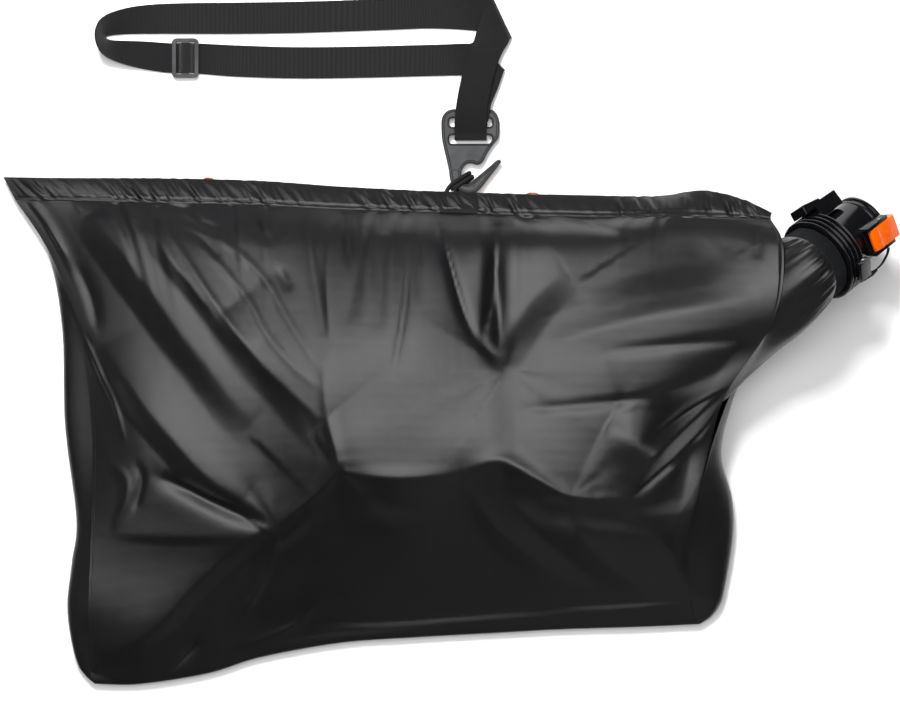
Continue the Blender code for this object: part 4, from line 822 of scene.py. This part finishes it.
def uneven_skin(tree, surface, per_metre, strength, depth):
    """A fine uneven relief with so many swells to the metre. Gives back its coordinates node."""
    place = add_node(tree, "ShaderNodeTexCoord")
    swells = add_node(
        tree, "ShaderNodeTexNoise", Vector=place.outputs["Object"], Scale=per_metre, Detail=2.0
    )
    relief = add_node(
        tree, "ShaderNodeBump", Strength=strength, Distance=depth, Height=swells.outputs["Fac"]
    )
    tree.links.new(relief.outputs["Normal"], surface.inputs["Normal"])
    return place


def moulded(name, base, roughness, grain_size, grain_depth):
    """Moulded plastic: a grain of a real size, and a gloss that handling has made a little uneven."""
    made, tree, surface = new_material(name, base, roughness, Specular_IOR_Level=0.5)
    place = uneven_skin(tree, surface, 1 / grain_size, 0.35, grain_depth)
    cloudy = add_node(tree, "ShaderNodeTexNoise", Vector=place.outputs["Object"], Scale=70.0, Detail=4.0)
    dull = add_node(
        tree, "ShaderNodeMapRange",
        _0=cloudy.outputs["Fac"], _1=0.35, _2=0.7, _3=roughness * 0.85, _4=roughness * 1.25,
    )
    tree.links.new(dull.outputs[0], surface.inputs["Roughness"])
    return made


black_plastic = moulded("glass_filled_nylon_polished", "#0C0C0E", 0.16, 0.004, 0.0001)
grey_plastic = moulded("acetal_fine_grain", "#1E1F21", 0.34, 0.0008, 0.0001)
orange_plastic = moulded("abs_orange_polished", "#F96500", 0.26, 0.003, 0.0001)
steel, tree, surface = new_material("zinc_plated_steel", "#B9B7B2", 0.3, Metallic=1.0)
uneven_skin(tree, surface, 900.0, 0.2, 0.0001)

# %% [markdown]
# Round parts are turned from a closed outline of radius and height. A circle primitive lends its
# ring of points to the outline, and the spin tool turns it about the connector's axis.

# %% Turned parts of the connector


def rounded(profile, radius, steps=3):
    """A closed outline with its corners rounded."""
    made = []
    count = len(profile)
    for k in range(count):
        corner = Vector(profile[k])
        before, after = Vector(profile[k - 1]) - corner, Vector(profile[(k + 1) % count]) - corner
        cut = min(radius, before.length * 0.45, after.length * 0.45)
        start, end = corner + before.normalized() * cut, corner + after.normalized() * cut
        for step in range(steps + 1):
            t = step / steps
            made.append(start * (1 - t) ** 2 + corner * 2 * t * (1 - t) + end * t**2)
    return made


def turned(name, profile, radius, steps=120):
    """A ring turned about the connector's axis, with its corners rounded."""
    outline = rounded(profile, radius)
    pick()
    bpy.ops.mesh.primitive_circle_add(vertices=len(outline), radius=1)
    piece = bpy.context.object
    piece.name = piece.data.name = name
    piece.data.vertices.foreach_set(
        "co", from_neck([(point[0], 0, point[1]) for point in outline]).reshape(-1)
    )
    finish_edit(
        piece,
        lambda: bpy.ops.mesh.spin(
            steps=steps, angle=2 * math.pi, center=from_neck([[0, 0, 0]])[0], axis=neck_out,
            dupli=False,
        ),
        lambda: bpy.ops.mesh.remove_doubles(threshold=MERGE_GAP),
        lambda: bpy.ops.mesh.normals_make_consistent(inside=False),
    )
    shade(piece, 30)
    return piece


SEAT_RADIUS, BEAD_RADIUS = 40, 34.9
pipe = turned(
    "pipe_moulding",
    [
        (BORE_RADIUS, -26), (PIPE_RADIUS, -26), (PIPE_RADIUS, -2), (SEAT_RADIUS, -2),
        (SEAT_RADIUS, 23), (PIPE_RADIUS, 23), (PIPE_RADIUS, 66.5), (BEAD_RADIUS, 67.2),
        (BEAD_RADIUS, 69.2), (PIPE_RADIUS, 70), (PIPE_RADIUS, 74), (RIM_RADIUS, 74),
        (RIM_RADIUS, PIPE_REACH), (34.4, PIPE_REACH), (33.6, 76.4), (BORE_RADIUS, 76.4),
    ],
    0.5,
)
dress(pipe, "bag", "black_plastic", black_plastic, "connector_pipe")

CLAMP_BORE, CLAMP_END, RIDGES, RIDGE_PITCH = 40.3, -2.3, 4, 6.25
clamp_profile = [(CLAMP_BORE, CLAMP_END)]
for k in range(RIDGES):
    low = CLAMP_END + RIDGE_PITCH * k
    clamp_profile += [(46.9, low), (48, low + 0.9), (48, low + 2.0), (47.4, low + 2.8)]
    if k < RIDGES - 1:
        clamp_profile += [(44.2, low + 3.1), (43.8, low + 5.9)]
clamp_profile.append((CLAMP_BORE, CLAMP_END + RIDGE_PITCH * (RIDGES - 1) + 2.8))
clamp = turned("clamp_moulding", clamp_profile, 0.7, 144)
dress(clamp, "bag", "black_plastic", black_plastic, "clamp_ring")

# %% [markdown]
# The elastic is gathered as it is sewn, so fine ribs run across it, along the pipe. They are modelled,
# because their ragged outline shows against the white floor. Its yarn is fuzzy and matt, with swells
# of 0.7 mm, so it looks greyer and flatter than the cloth beside it.

# %% Elastic cuff
ELASTIC_RIBS = 110
# Radius, place along the pipe, and share of the ribs' height.
CUFF_PROFILE = [
    (34.4, -2.7, 0), (38, -2.7, 0.2), (40.6, -2.8, 0.7), (41.3, -3.6, 1), (41.0, -5.2, 1),
    (41.6, -7.2, 1), (41.2, -9.6, 1), (41.9, -12, 1), (41.3, -14.5, 1), (41.8, -17.3, 1),
    (41.2, -19.6, 1), (41.4, -20.7, 1), (40.5, -21.4, 0.7), (38, -21.5, 0.2), (34.4, -21.5, 0),
]


def elastic_points(around, rows):
    """A closed band round the pipe with a rib for every few degrees."""
    turn = np.linspace(0, 2 * math.pi, around + 1)
    ribs = 0.6 * np.cos(ELASTIC_RIBS * turn + 0.5 * np.sin(7 * turn)) + 0.2 * np.sin(13 * turn)
    rings = []
    for radius, out, ribbed in CUFF_PROFILE:
        r = radius + ribs * ribbed
        rings.append(np.stack([r * np.cos(turn), r * np.sin(turn), np.full(turn.shape, out)], axis=1))
    rings.append(rings[0])
    return from_neck(np.stack(rings, axis=1))


elastic, tree, surface = new_material("ribbed_elastic", "#17181A", 0.75, Specular_IOR_Level=0.3)
uneven_skin(tree, surface, 1400.0, 0.5, 0.0003)
cuff = shaped_grid("elastic_band", elastic_points(ELASTIC_RIBS * 6, 15))
merge_ring(cuff)
shade(cuff, 60)
dress(cuff, "bag", "elastic", elastic, "elastic_cuff")

# %% [markdown]
# The catch, the boss, the latch and the tether are moulded in simple tools. Their CAD copies get
# the rounded edges that a mould leaves, which catch thin lines of light. The small metal parts, the
# zip's tape and the tether's strap keep their CAD shape and only get their material.

# %% Catches and latch
softened_copy("side_catch", "catch_moulding", 0.0011, "bag", "black_plastic", black_plastic)
softened_copy("clamp_boss", "boss_moulding", 0.0009, "bag", "black_plastic", black_plastic)
softened_copy("latch_housing", "latch_cheeks", 0.0008, "bag", "black_plastic", black_plastic)
softened_copy("latch_lever", "release_lever", 0.0020, "lever", "orange_plastic", orange_plastic, 4)
softened_copy("tether_tab", "tether_tab_moulding", 0.0008, "bag", "elastic", elastic)
for node, finish in (
    ("clamp_screw", steel), ("latch_pin", steel), ("latch_spring", steel), ("zip_stop_open", steel),
    ("zip_stop_closed", steel), ("tether_strap", elastic), ("zip_tape", nylon),
):
    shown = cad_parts[node]
    shown.data.materials.clear()
    shown.data.materials.append(finish)

# %% [markdown]
# The webbing is polypropylene, woven from thick yarn in ribs that run across it, 2.1 mm apart, with
# 1.7 mm between the yarns. It is matt, and painted shade darkens the valleys between the ribs.
# The pattern follows the strap, so the strap carries a texture map in real metres: across and along.

# %% Woven webbing
RIB_PITCH, YARN_PITCH = 0.0021, 0.0017


def webbing_material(name, base):
    """Woven webbing: ribs across, a twill slant in them, a dull sheen, and painted shade between the
    ribs.
    """
    made, tree, surface = new_material(name, base, 0.62, Specular_IOR_Level=0.35)
    surface.inputs["Sheen Weight"].default_value = 0.15
    place = add_node(tree, "ShaderNodeTexCoord")
    ribs = add_node(
        tree, "ShaderNodeTexWave", {"bands_direction": "Y"},
        Vector=place.outputs["UV"], Scale=1 / RIB_PITCH / 3.1416, Distortion=0.6, Detail=1.0,
    )
    yarns = add_node(
        tree, "ShaderNodeTexWave", {"bands_direction": "X"},
        Vector=place.outputs["UV"], Scale=1 / YARN_PITCH / 3.1416, Distortion=0.4,
    )
    woven = add_node(
        tree, "ShaderNodeMath", {"operation": "MULTIPLY_ADD"}, _0=yarns.outputs["Fac"], _1=0.35
    )
    tree.links.new(ribs.outputs["Fac"], woven.inputs[2])
    bump = add_node(tree, "ShaderNodeBump", Strength=0.7, Distance=0.0005, Height=woven.outputs[0])
    tree.links.new(bump.outputs["Normal"], surface.inputs["Normal"])
    # Painted shade: the base colour is darkened in the valleys between the ribs.
    shadow = add_node(tree, "ShaderNodeMapRange", _0=woven.outputs[0], _1=0.2, _2=1.2, _3=0.55, _4=1.15)
    tint = add_node(
        tree, "ShaderNodeMix", {"data_type": "RGBA", "blend_type": "MULTIPLY"}, _0=1.0, _6=colour(base)
    )
    tree.links.new(shadow.outputs[0], tint.inputs[7])
    tree.links.new(tint.outputs[2], surface.inputs["Base Color"])
    return made


webbing = webbing_material("polypropylene_webbing", "#151517")


def metric_uv(piece, width, length):
    """Rewrites the grid's even texture map in metres."""
    layer = piece.data.uv_layers[0]
    flat = np.zeros(len(layer.data) * 2)
    layer.data.foreach_get("uv", flat)
    layer.data.foreach_set("uv", (flat.reshape(-1, 2) * [width, length]).reshape(-1))


# %% [markdown]
# The strap lies folded on itself. Its two edges are written as pairs of points, and a smooth ribbon
# runs between them. It keeps the width of real webbing through every fold and curl.

# %% Edges of the strap
STRAP_EDGES = [
    ((-303.3, 319, 2.7), (-303.3, 352, 2.7)), ((-302.8, 319, 4.4), (-302.8, 352, 4.4)),
    ((-301.4, 319, 6.3), (-301.4, 352, 6.3)), ((-298, 319, 7.0), (-298, 352, 7.0)),
    ((-294, 319, 7.0), (-294, 352, 7.0)), ((-290.6, 319, 6.3), (-290.6, 352, 6.3)),
    ((-289.3, 319, 4.4), (-289.3, 352, 4.4)), ((-288.6, 319, 2.7), (-288.6, 352, 2.7)),
    ((-287.1, 319, 1.4), (-287.1, 352, 1.4)), ((-284, 318, 0.9), (-284, 352, 0.9)),
    ((-278, 318, 0.9), (-278, 352, 0.9)), ((-238, 315, 0.9), (-238, 350, 0.9)),
    ((-168, 313, 0.9), (-168, 348, 0.9)), ((-89, 314, 0.9), (-89, 349, 0.9)),
    ((-11, 316, 0.9), (-11, 351, 0.9)), ((30, 317, 0.9), (14, 352, 0.9)),
    ((56, 320.5, 1.0), (22, 352, 1.0)), ((60, 321, 1.3), (26, 353.6, 1.3)),
    ((61, 321.3, 2.9), (27, 354.3, 2.9)), ((60, 320, 4.5), (26, 353, 4.5)),
    ((53, 300, 5.0), (17, 321, 5.0)), ((47, 286, 7.2), (11, 293, 6.6)),
    ((45, 278, 9.0), (8, 279, 9.0)), ((44, 270, 9.1), (8, 270, 9.1)),
    ((43, 266, 8.3), (8, 266, 8.3)), ((42, 263.9, 5.8), (8, 263.9, 5.8)),
    ((42, 262.2, 3.4), (8, 262.2, 3.4)), ((42, 260.2, 1.7), (7, 260.2, 1.7)),
    ((41, 257, 1.15), (6, 257, 1.15)), ((41, 250.5, 1.15), (6, 250.5, 1.15)),
    ((41, 247, 1.5), (6, 247, 1.5)), ((41, 244.8, 3.0), (6, 244.8, 3.0)),
    ((41, 243.8, 5.4), (6, 243.8, 5.4)), ((41, 244.8, 8.0), (5, 244.8, 8.0)),
    ((41, 247.5, 9.6), (5, 247.5, 9.6)), ((41, 252, 10.3), (5, 252, 10.3)),
    ((41, 262, 11.0), (5, 262, 11.0)), ((41, 274, 11.2), (6, 274, 11.2)),
    ((43, 288, 10.2), (8, 289, 10.2)), ((46, 303, 8.8), (11, 305, 8.8)),
    ((51, 322, 7.4), (16, 326, 7.4)), ((58, 340, 6.4), (24, 347, 6.6)),
    ((65, 352, 5.2), (36, 384, 5.2)), ((67.5, 357.5, 4.5), (44, 405, 4.5)),
    ((68.6, 358, 2.9), (45.6, 406.3, 2.9)), ((67.5, 358.5, 1.3), (44.2, 405.6, 1.3)),
    ((58, 361, 0.9), (38, 404.6, 0.9)), ((42, 364, 0.9), (29, 404, 0.9)),
    ((22, 367, 0.9), (14, 403, 0.9)), ((-22, 369, 0.9), (-25, 405, 0.9)),
    ((-78, 367, 0.9), (-78, 402, 0.9)), ((-168, 364, 0.9), (-168, 399, 0.9)),
    ((-235, 363, 0.9), (-235, 398, 0.9)), ((-305, 363, 0.9), (-305, 397, 1.8)),
    ((-345, 363, 0.9), (-346, 394, 5.0)), ((-367, 362.5, 1.1), (-370, 388, 11.0)),
    ((-379, 361.5, 1.4), (-386, 379, 19.0)), ((-385, 360, 1.6), (-393, 366, 24.0)),
    ((-385, 357.5, 1.6), (-393, 351, 23.0)), ((-379, 355.5, 1.4), (-386, 338, 17.0)),
    ((-367, 355, 1.1), (-370, 330, 9.0)), ((-344, 354.5, 0.9), (-346, 324, 3.0)),
    ((-322, 353, 0.9), (-322, 320, 0.9)), ((-307, 352, 0.9), (-307, 319, 0.9)),
    ((-297, 352, 0.9), (-297, 319, 0.9)),
]
print(len(STRAP_EDGES), "pairs along the strap")

# %% [markdown]
# The ribbon is a grid between the two edges. Its texture map is set to the webbing's real width and
# length, it gets its thickness to both sides, and a small bevel rounds the woven edges.

# %% Ribbon of the strap
STRAP_WIDTH, STRAP_RUN, STRAP_WALL, SELVEDGE = 0.035, 1.96, 0.0016, 0.0005


def ribbon_points(edges, columns, between):
    """Points of a ribbon between two edge lines, as a grid: across first, then along."""
    wanted = np.linspace(0, len(edges) - 1, (len(edges) - 1) * between + 1)
    near = curve_through([pair[0] for pair in edges], wanted)
    far = curve_through([pair[1] for pair in edges], wanted)
    share = np.linspace(0, 1, columns + 1)[:, None, None]
    return near[None] * (1 - share) + far[None] * share


strap = shaped_grid("woven_strap", from_bag(ribbon_points(STRAP_EDGES, 10, 6)))
metric_uv(strap, STRAP_WIDTH, STRAP_RUN)
apply_modifier(strap, "SOLIDIFY", "wall", thickness=STRAP_WALL, offset=0.0)
apply_modifier(
    strap, "BEVEL", "selvedge", width=SELVEDGE, segments=2, limit_method="ANGLE",
    angle_limit=math.radians(50),
)
shade(strap, 50)
dress(strap, "bag", "webbing", webbing, "shoulder_strap")

# %% [markdown]
# Thin round things, such as a rim, a rib or a stitch, are drawn as curves with a round section, and
# the convert tool makes meshes of them.

# %% Round bars along lines


def add_line(data, line, closed):
    """Adds a line of places to a curve."""
    spline = data.splines.new("POLY")
    spline.points.add(len(line) - 1)
    spline.points.foreach_set("co", np.array([(*place, 1) for place in line]).reshape(-1))
    spline.use_cyclic_u = closed


def bars(name, lines, radius, closed=False, fineness=1):
    """One mesh of round bars along lines of places, in metres."""
    data = bpy.data.curves.new(name, "CURVE")
    data.dimensions = "3D"
    data.bevel_depth = radius
    data.bevel_resolution = fineness
    data.use_fill_caps = not closed
    for line in lines:
        add_line(data, line, closed)
    return as_mesh(name, data)


def as_mesh(name, data):
    """A curve turned to a mesh, with its corners merged and its normals outward."""
    piece = bpy.data.objects.new(name, data)
    bpy.context.scene.collection.objects.link(piece)
    pick(piece)
    bpy.ops.object.convert(target="MESH")
    piece = bpy.context.object
    merge_ring(piece)
    return piece


# %% [markdown]
# The hook is moulded in grey acetal. Its plate is thin, and a raised rim follows its outline, both of
# its slots and its open arm, which keeps it stiff. The plate is a filled curve with two holes, and the
# rim is a round bar along the same outline.

# %% Hook
HOOK_OUTLINE = [
    (-9.5, 250), (-8.6, 242), (-6, 231), (-1.8, 212), (0.2, 199), (5, 190.5), (12.5, 185), (22, 183),
    (32, 187), (45, 203), (56.4, 218), (55.2, 221), (52, 220.6), (41, 211), (30, 202), (24, 196.5),
    (18, 194.6), (13.6, 199), (13, 208), (17.5, 215.6), (24, 217.4), (31, 215.6), (37, 219.4),
    (42, 229), (48.5, 238.5), (54.2, 246), (55.4, 254), (55, 266), (51, 274.4), (44, 278),
    (23, 278.6), (2, 278), (-6, 273.6), (-9.6, 265),
]
HOOK_SLOTS = [(23, 263), (23, 244)]
HOOK_RIM, HOOK_MIDDLE, HOOK_TIP = 2.1, 270, math.radians(-1.96)
SLOT_LONG, SLOT_HIGH, SLOT_CORNER = 48, 10, 3


def inset(line, amount):
    """A closed line moved inward by an amount, if it runs round anticlockwise."""
    way = unit(np.roll(line, -1, axis=0) - np.roll(line, 1, axis=0))
    return line + np.stack([-way[:, 1], way[:, 0]], axis=1) * amount


def slot_line(middle, long, high, corner):
    """The outline of a slot with round corners."""
    line = []
    for k in range(4):
        across, up = (1, -1, -1, 1)[k], (1, 1, -1, -1)[k]
        for step in range(5):
            angle = math.pi / 2 * (k + step / 4)
            line.append((
                middle[0] + across * (long / 2 - corner) + corner * math.cos(angle),
                middle[1] + up * (high / 2 - corner) + corner * math.sin(angle),
            ))
    return np.array(line)


def hook_places(line, height):
    """Places on the hook, in metres from its own middle."""
    return [(x / 1000, (y - HOOK_MIDDLE) / 1000, height / 1000) for x, y in line]


closed_outline = [(*place, 0) for place in HOOK_OUTLINE + HOOK_OUTLINE[:1]]
wanted = np.linspace(0, len(HOOK_OUTLINE), 5 * len(HOOK_OUTLINE) + 1)[:-1]
hook_line = curve_through(closed_outline, wanted)[:, :2]
slot_lines = [slot_line(middle, SLOT_LONG, SLOT_HIGH, SLOT_CORNER) for middle in HOOK_SLOTS]
plate_data = bpy.data.curves.new("hook_plate", "CURVE")
plate_data.dimensions = "2D"
plate_data.fill_mode = "BOTH"
plate_data.extrude = 0.0014
for line in [inset(hook_line, HOOK_RIM)] + slot_lines:
    add_line(plate_data, hook_places(line, 0), True)
hook = as_mesh("hook_moulding", plate_data)
print("hook plate", len(hook.data.polygons), "faces")

# %% [markdown]
# The rim, the frames of the slots and two short ribs are joined to the plate, and the whole is tipped
# by two degrees, because the cord lifts the hook's open end off the floor.

# %% Hook's rims and ribs
rim = bars("hook_rim", [hook_places(inset(hook_line, HOOK_RIM), 0)], 0.0021, True, 3)
slot_frames = [hook_places(inset(line, -0.9), 1.0) for line in slot_lines]
slot_rims = bars("slot_rims", slot_frames, 0.0011, True, 2)
rib_lines = [hook_places(line, 1.2) for line in ([(0, 210), (13, 210)], [(23, 196), (28, 190)])]
ribs = bars("hook_ribs", rib_lines, 0.0009)
pick(rim, slot_rims, ribs, hook)
bpy.ops.object.join()
hook_place = Matrix.Translation(from_bag((0, HOOK_MIDDLE, 2.4)).tolist())
hook.data.transform(hook_place @ Matrix.Rotation(HOOK_TIP, 4, "X") @ Matrix.Translation((0, 0, 0.0025)))
shade(hook, 40)
dress(hook, "bag", "grey_plastic", grey_plastic, "carrying_hook")

# %% [markdown]
# The glide is a flat frame with a middle bar that the webbing is wound round. Its mould leaves small
# round edges, which a bevel gives to the copy of its CAD node.

# %% Glide
softened_copy(
    "strap_glide", "glide_moulding", 0.0007, "bag", "grey_plastic", grey_plastic, 3, 0.5, 30
)

# %% [markdown]
# The hem is sewn down with two rows of stitches, and one row holds the left seam. Each stitch is a
# short round bar of thread that lies on the cloth, 3.4 mm from the next. There are hundreds, so each
# bar has only four sides. The thread is polyester with a hard dull coat, and its twist is drawn at
# 1.3 mm, coarser than it is, so that it shows.

# %% Stitches
STITCH_PITCH, STITCH_LENGTH, STITCH_LIFT, THREAD_RADIUS = 0.0034, 0.0026, 0.0001, 0.0003
thread, tree, surface = new_material("bonded_polyester_thread", "#1A1A1B", 0.55, Specular_IOR_Level=0.4)
place = add_node(tree, "ShaderNodeTexCoord")
twist = add_node(
    tree, "ShaderNodeTexWave", {"bands_direction": "DIAGONAL"},
    Vector=place.outputs["Object"], Scale=500.0,
)
twisted = add_node(tree, "ShaderNodeBump", Strength=0.3, Distance=0.0001, Height=twist.outputs["Fac"])
tree.links.new(twisted.outputs["Normal"], surface.inputs["Normal"])


def stitches_on(line):
    """Pairs of places for stitches along a line on the cloth."""
    run = run_along(line)
    starts = np.arange(STITCH_PITCH, run[-1] - 2 * STITCH_PITCH, STITCH_PITCH)
    lift = [0, 0, STITCH_LIFT]
    ends = [places_at(starts + more, run, line) + lift for more in (0, STITCH_LENGTH)]
    return list(zip(*ends))


hem_grid, front_grid = hem_points(*HEM_GRID), front_points(*FRONT_GRID)
rows = [hem_grid[:, 3], hem_grid[:, 6], front_grid[3, 1:120]]
stitches = [stitch for row in rows for stitch in stitches_on(row)]
seams = bars("seam_stitches", stitches, THREAD_RADIUS, False, 0)
print(len(stitches), "stitches")
shade(seams, 60)
dress(seams, "bag", "nylon", thread)

# %% [markdown]
# The cord is braided from eight bundles of yarn. Two sets of them wind in opposite ways and cross in
# a pattern of diamonds, which is modelled as a fine swelling of the cord's skin. Its line, twice round
# the hook's lower bar, is written as places, because both ends are held. The fibres are matt, with
# swells of 0.6 mm.

# %% Line of the cord
CORD_AT, CORD_TURN, CORD_RADIUS, BRAID_PITCH = (10.5, 193.5), math.radians(36.3), 2.2, 3.4
CORD_LINE = [
    (-18.0, 0.5, 31.0), (-17.4, 0.9, 26.5), (-14.3, 2.8, 20.7), (-10.3, 4.5, 16.0), (-5.7, 5.2, 13.7),
    (0, 5.0, 13.0), (6, 4.8, 12.8), (11.6, 4.5, 11.3), (15.8, 4.2, 8.5), (17.0, 3.8, 5.9),
    (16.0, 3.5, 3.5), (13.4, 3.1, 2.5), (5.7, 2.7, 2.5), (0, 2.4, 2.5), (-5.7, 2.0, 2.6),
    (-8.1, 1.7, 3.6), (-9.1, 1.4, 6.0), (-9.1, 1.0, 10.0), (-8.1, 0.7, 12.4), (-5.7, 0.3, 13.4),
    (0, 0, 13.0), (6, -0.3, 12.8), (11.6, -0.6, 11.3), (15.8, -0.9, 8.5), (17.0, -1.3, 5.9),
    (16.0, -1.6, 3.5), (13.4, -2.0, 2.5), (5.7, -2.4, 2.5), (0, -2.7, 2.5), (-5.7, -3.4, 2.6),
    (-8.1, -4.1, 3.6), (-9.0, -4.5, 6.0), (-9.0, -4.8, 10.0), (-8.7, -5.1, 14.5), (-8.9, -5.7, 19.5),
    (-9.6, -6.0, 25.0), (-9.8, -6.3, 28.0), (-9.8, -6.4, 31.0),
]
turned_axes = np.array([
    [math.cos(CORD_TURN), math.sin(CORD_TURN), 0],
    [-math.sin(CORD_TURN), math.cos(CORD_TURN), 0],
    [0, 0, 1],
])
cord_line = np.array(CORD_LINE) @ turned_axes + [*CORD_AT, 0]
print("cord runs from", cord_line[0].round(1), "to", cord_line[-1].round(1))

# %% [markdown]
# The skin is a grid wrapped round the line. Its radius swells where the two sets of yarn cross, and
# both ends are filled, so the cord is a closed solid.

# %% Braided cord


def braided_points(line, radius, around, pitch):
    """Points round a line of places, with the diamonds of a braid, and the line's length."""
    line = even_curve(line, 420)
    length = np.linalg.norm(np.diff(line, axis=0), axis=1).sum()
    way = unit(np.gradient(line, axis=0))
    side = unit(np.cross(way, [0.3, 0.5, 0.81]))
    up = np.cross(side, way)
    turn = np.linspace(0, 2 * math.pi, around + 1)[:, None]
    run = np.linspace(0, length, len(line))[None, :] * 2 * math.pi / pitch
    weave = np.abs(np.sin(2 * turn + run / 2)) + np.abs(np.sin(2 * turn - run / 2))
    size = (radius - 0.25 + 0.25 * weave)[..., None]
    ring = side[None] * np.cos(turn)[..., None] + up[None] * np.sin(turn)[..., None]
    return line[None] + ring * size, length


def closed_tube(name, points):
    """A grid bent into a tube, with its seam merged and its ends filled."""
    piece = shaped_grid(name, points)
    finish_edit(
        piece,
        lambda: bpy.ops.mesh.remove_doubles(threshold=MERGE_GAP),
        lambda: bpy.ops.mesh.select_all(action="DESELECT"),
        lambda: bpy.ops.mesh.select_non_manifold(),
        lambda: bpy.ops.mesh.fill_holes(sides=0),
        lambda: bpy.ops.mesh.select_all(action="SELECT"),
        lambda: bpy.ops.mesh.normals_make_consistent(inside=False),
    )
    return piece


cord_points, cord_length = braided_points(cord_line, CORD_RADIUS, 20, BRAID_PITCH)
cord = closed_tube("braided_cord", from_bag(cord_points)[::-1])
shade(cord, 60)
braid, tree, surface = new_material("braided_polyester", "#1C1C1E", 0.7, Specular_IOR_Level=0.3)
uneven_skin(tree, surface, 1600.0, 0.5, 0.0002)
dress(cord, "bag", "webbing", braid, "cord_loop")
print("cord is", round(cord_length), "mm long")

# %% [markdown]
# A small patch of webbing is sewn over the cord's ends at the hem. Its CAD copy only needs softer
# edges.

# %% Cord patch
softened_copy("cord_patch", "sewn_patch", 0.0003, "bag", "webbing", webbing, 2, 0.2, 40)

# %% [markdown]
# The zip runs under the hem, so only two slivers of its orange coil show, where the hem's puckers
# have drawn back. The coil is one nylon spiral sewn to the tape, modelled as a strip of close ribs.

# %% Zip
ZIP_FROM, ZIP_TILT = (-428.0, 190.9, 14.5), math.radians(-2.05)
COIL_FROM, COIL_TO, COIL_PITCH = 18.0, 631.4, 1.6
SLIVERS = [(-268.0, 13.2, 9.0), (92.0, 9.6, 10.0)]


def coil_points(around):
    """A strip of ribs along the zip line, drawn outward where the slivers show."""
    count = int((COIL_TO - COIL_FROM) / COIL_PITCH) * 4
    run = np.linspace(COIL_FROM, COIL_TO, count + 1)
    x = ZIP_FROM[0] + run * math.cos(ZIP_TILT)
    y = ZIP_FROM[1] + run * math.sin(ZIP_TILT)
    out = sum(amount * np.exp(-(((x - place) / width) ** 4)) for place, amount, width in SLIVERS)
    turn = np.linspace(0, 2 * math.pi, around + 1)[:, None]
    ribs = 0.22 * np.cos(run * 2 * math.pi / COIL_PITCH + turn)
    half_high = 2.6 + 2.0 * ribs
    return np.stack(
        [
            np.broadcast_to(x, ribs.shape),
            y + 1.4 + out + (1.0 + ribs) * np.cos(turn),
            ZIP_FROM[2] + half_high * np.sin(turn) + out * 0.6,
        ],
        axis=2,
    )


coil = closed_tube("nylon_coil", from_bag(coil_points(8)))
shade(coil, 50)
dress(coil, "bag", "orange_plastic", orange_plastic, "zip_coil")
softened_copy("zip_slider", "slider_casting", 0.0006, "slider", "steel", steel)
softened_copy("zip_pull", "pull_moulding", 0.0004, "pull", "orange_plastic", orange_plastic)
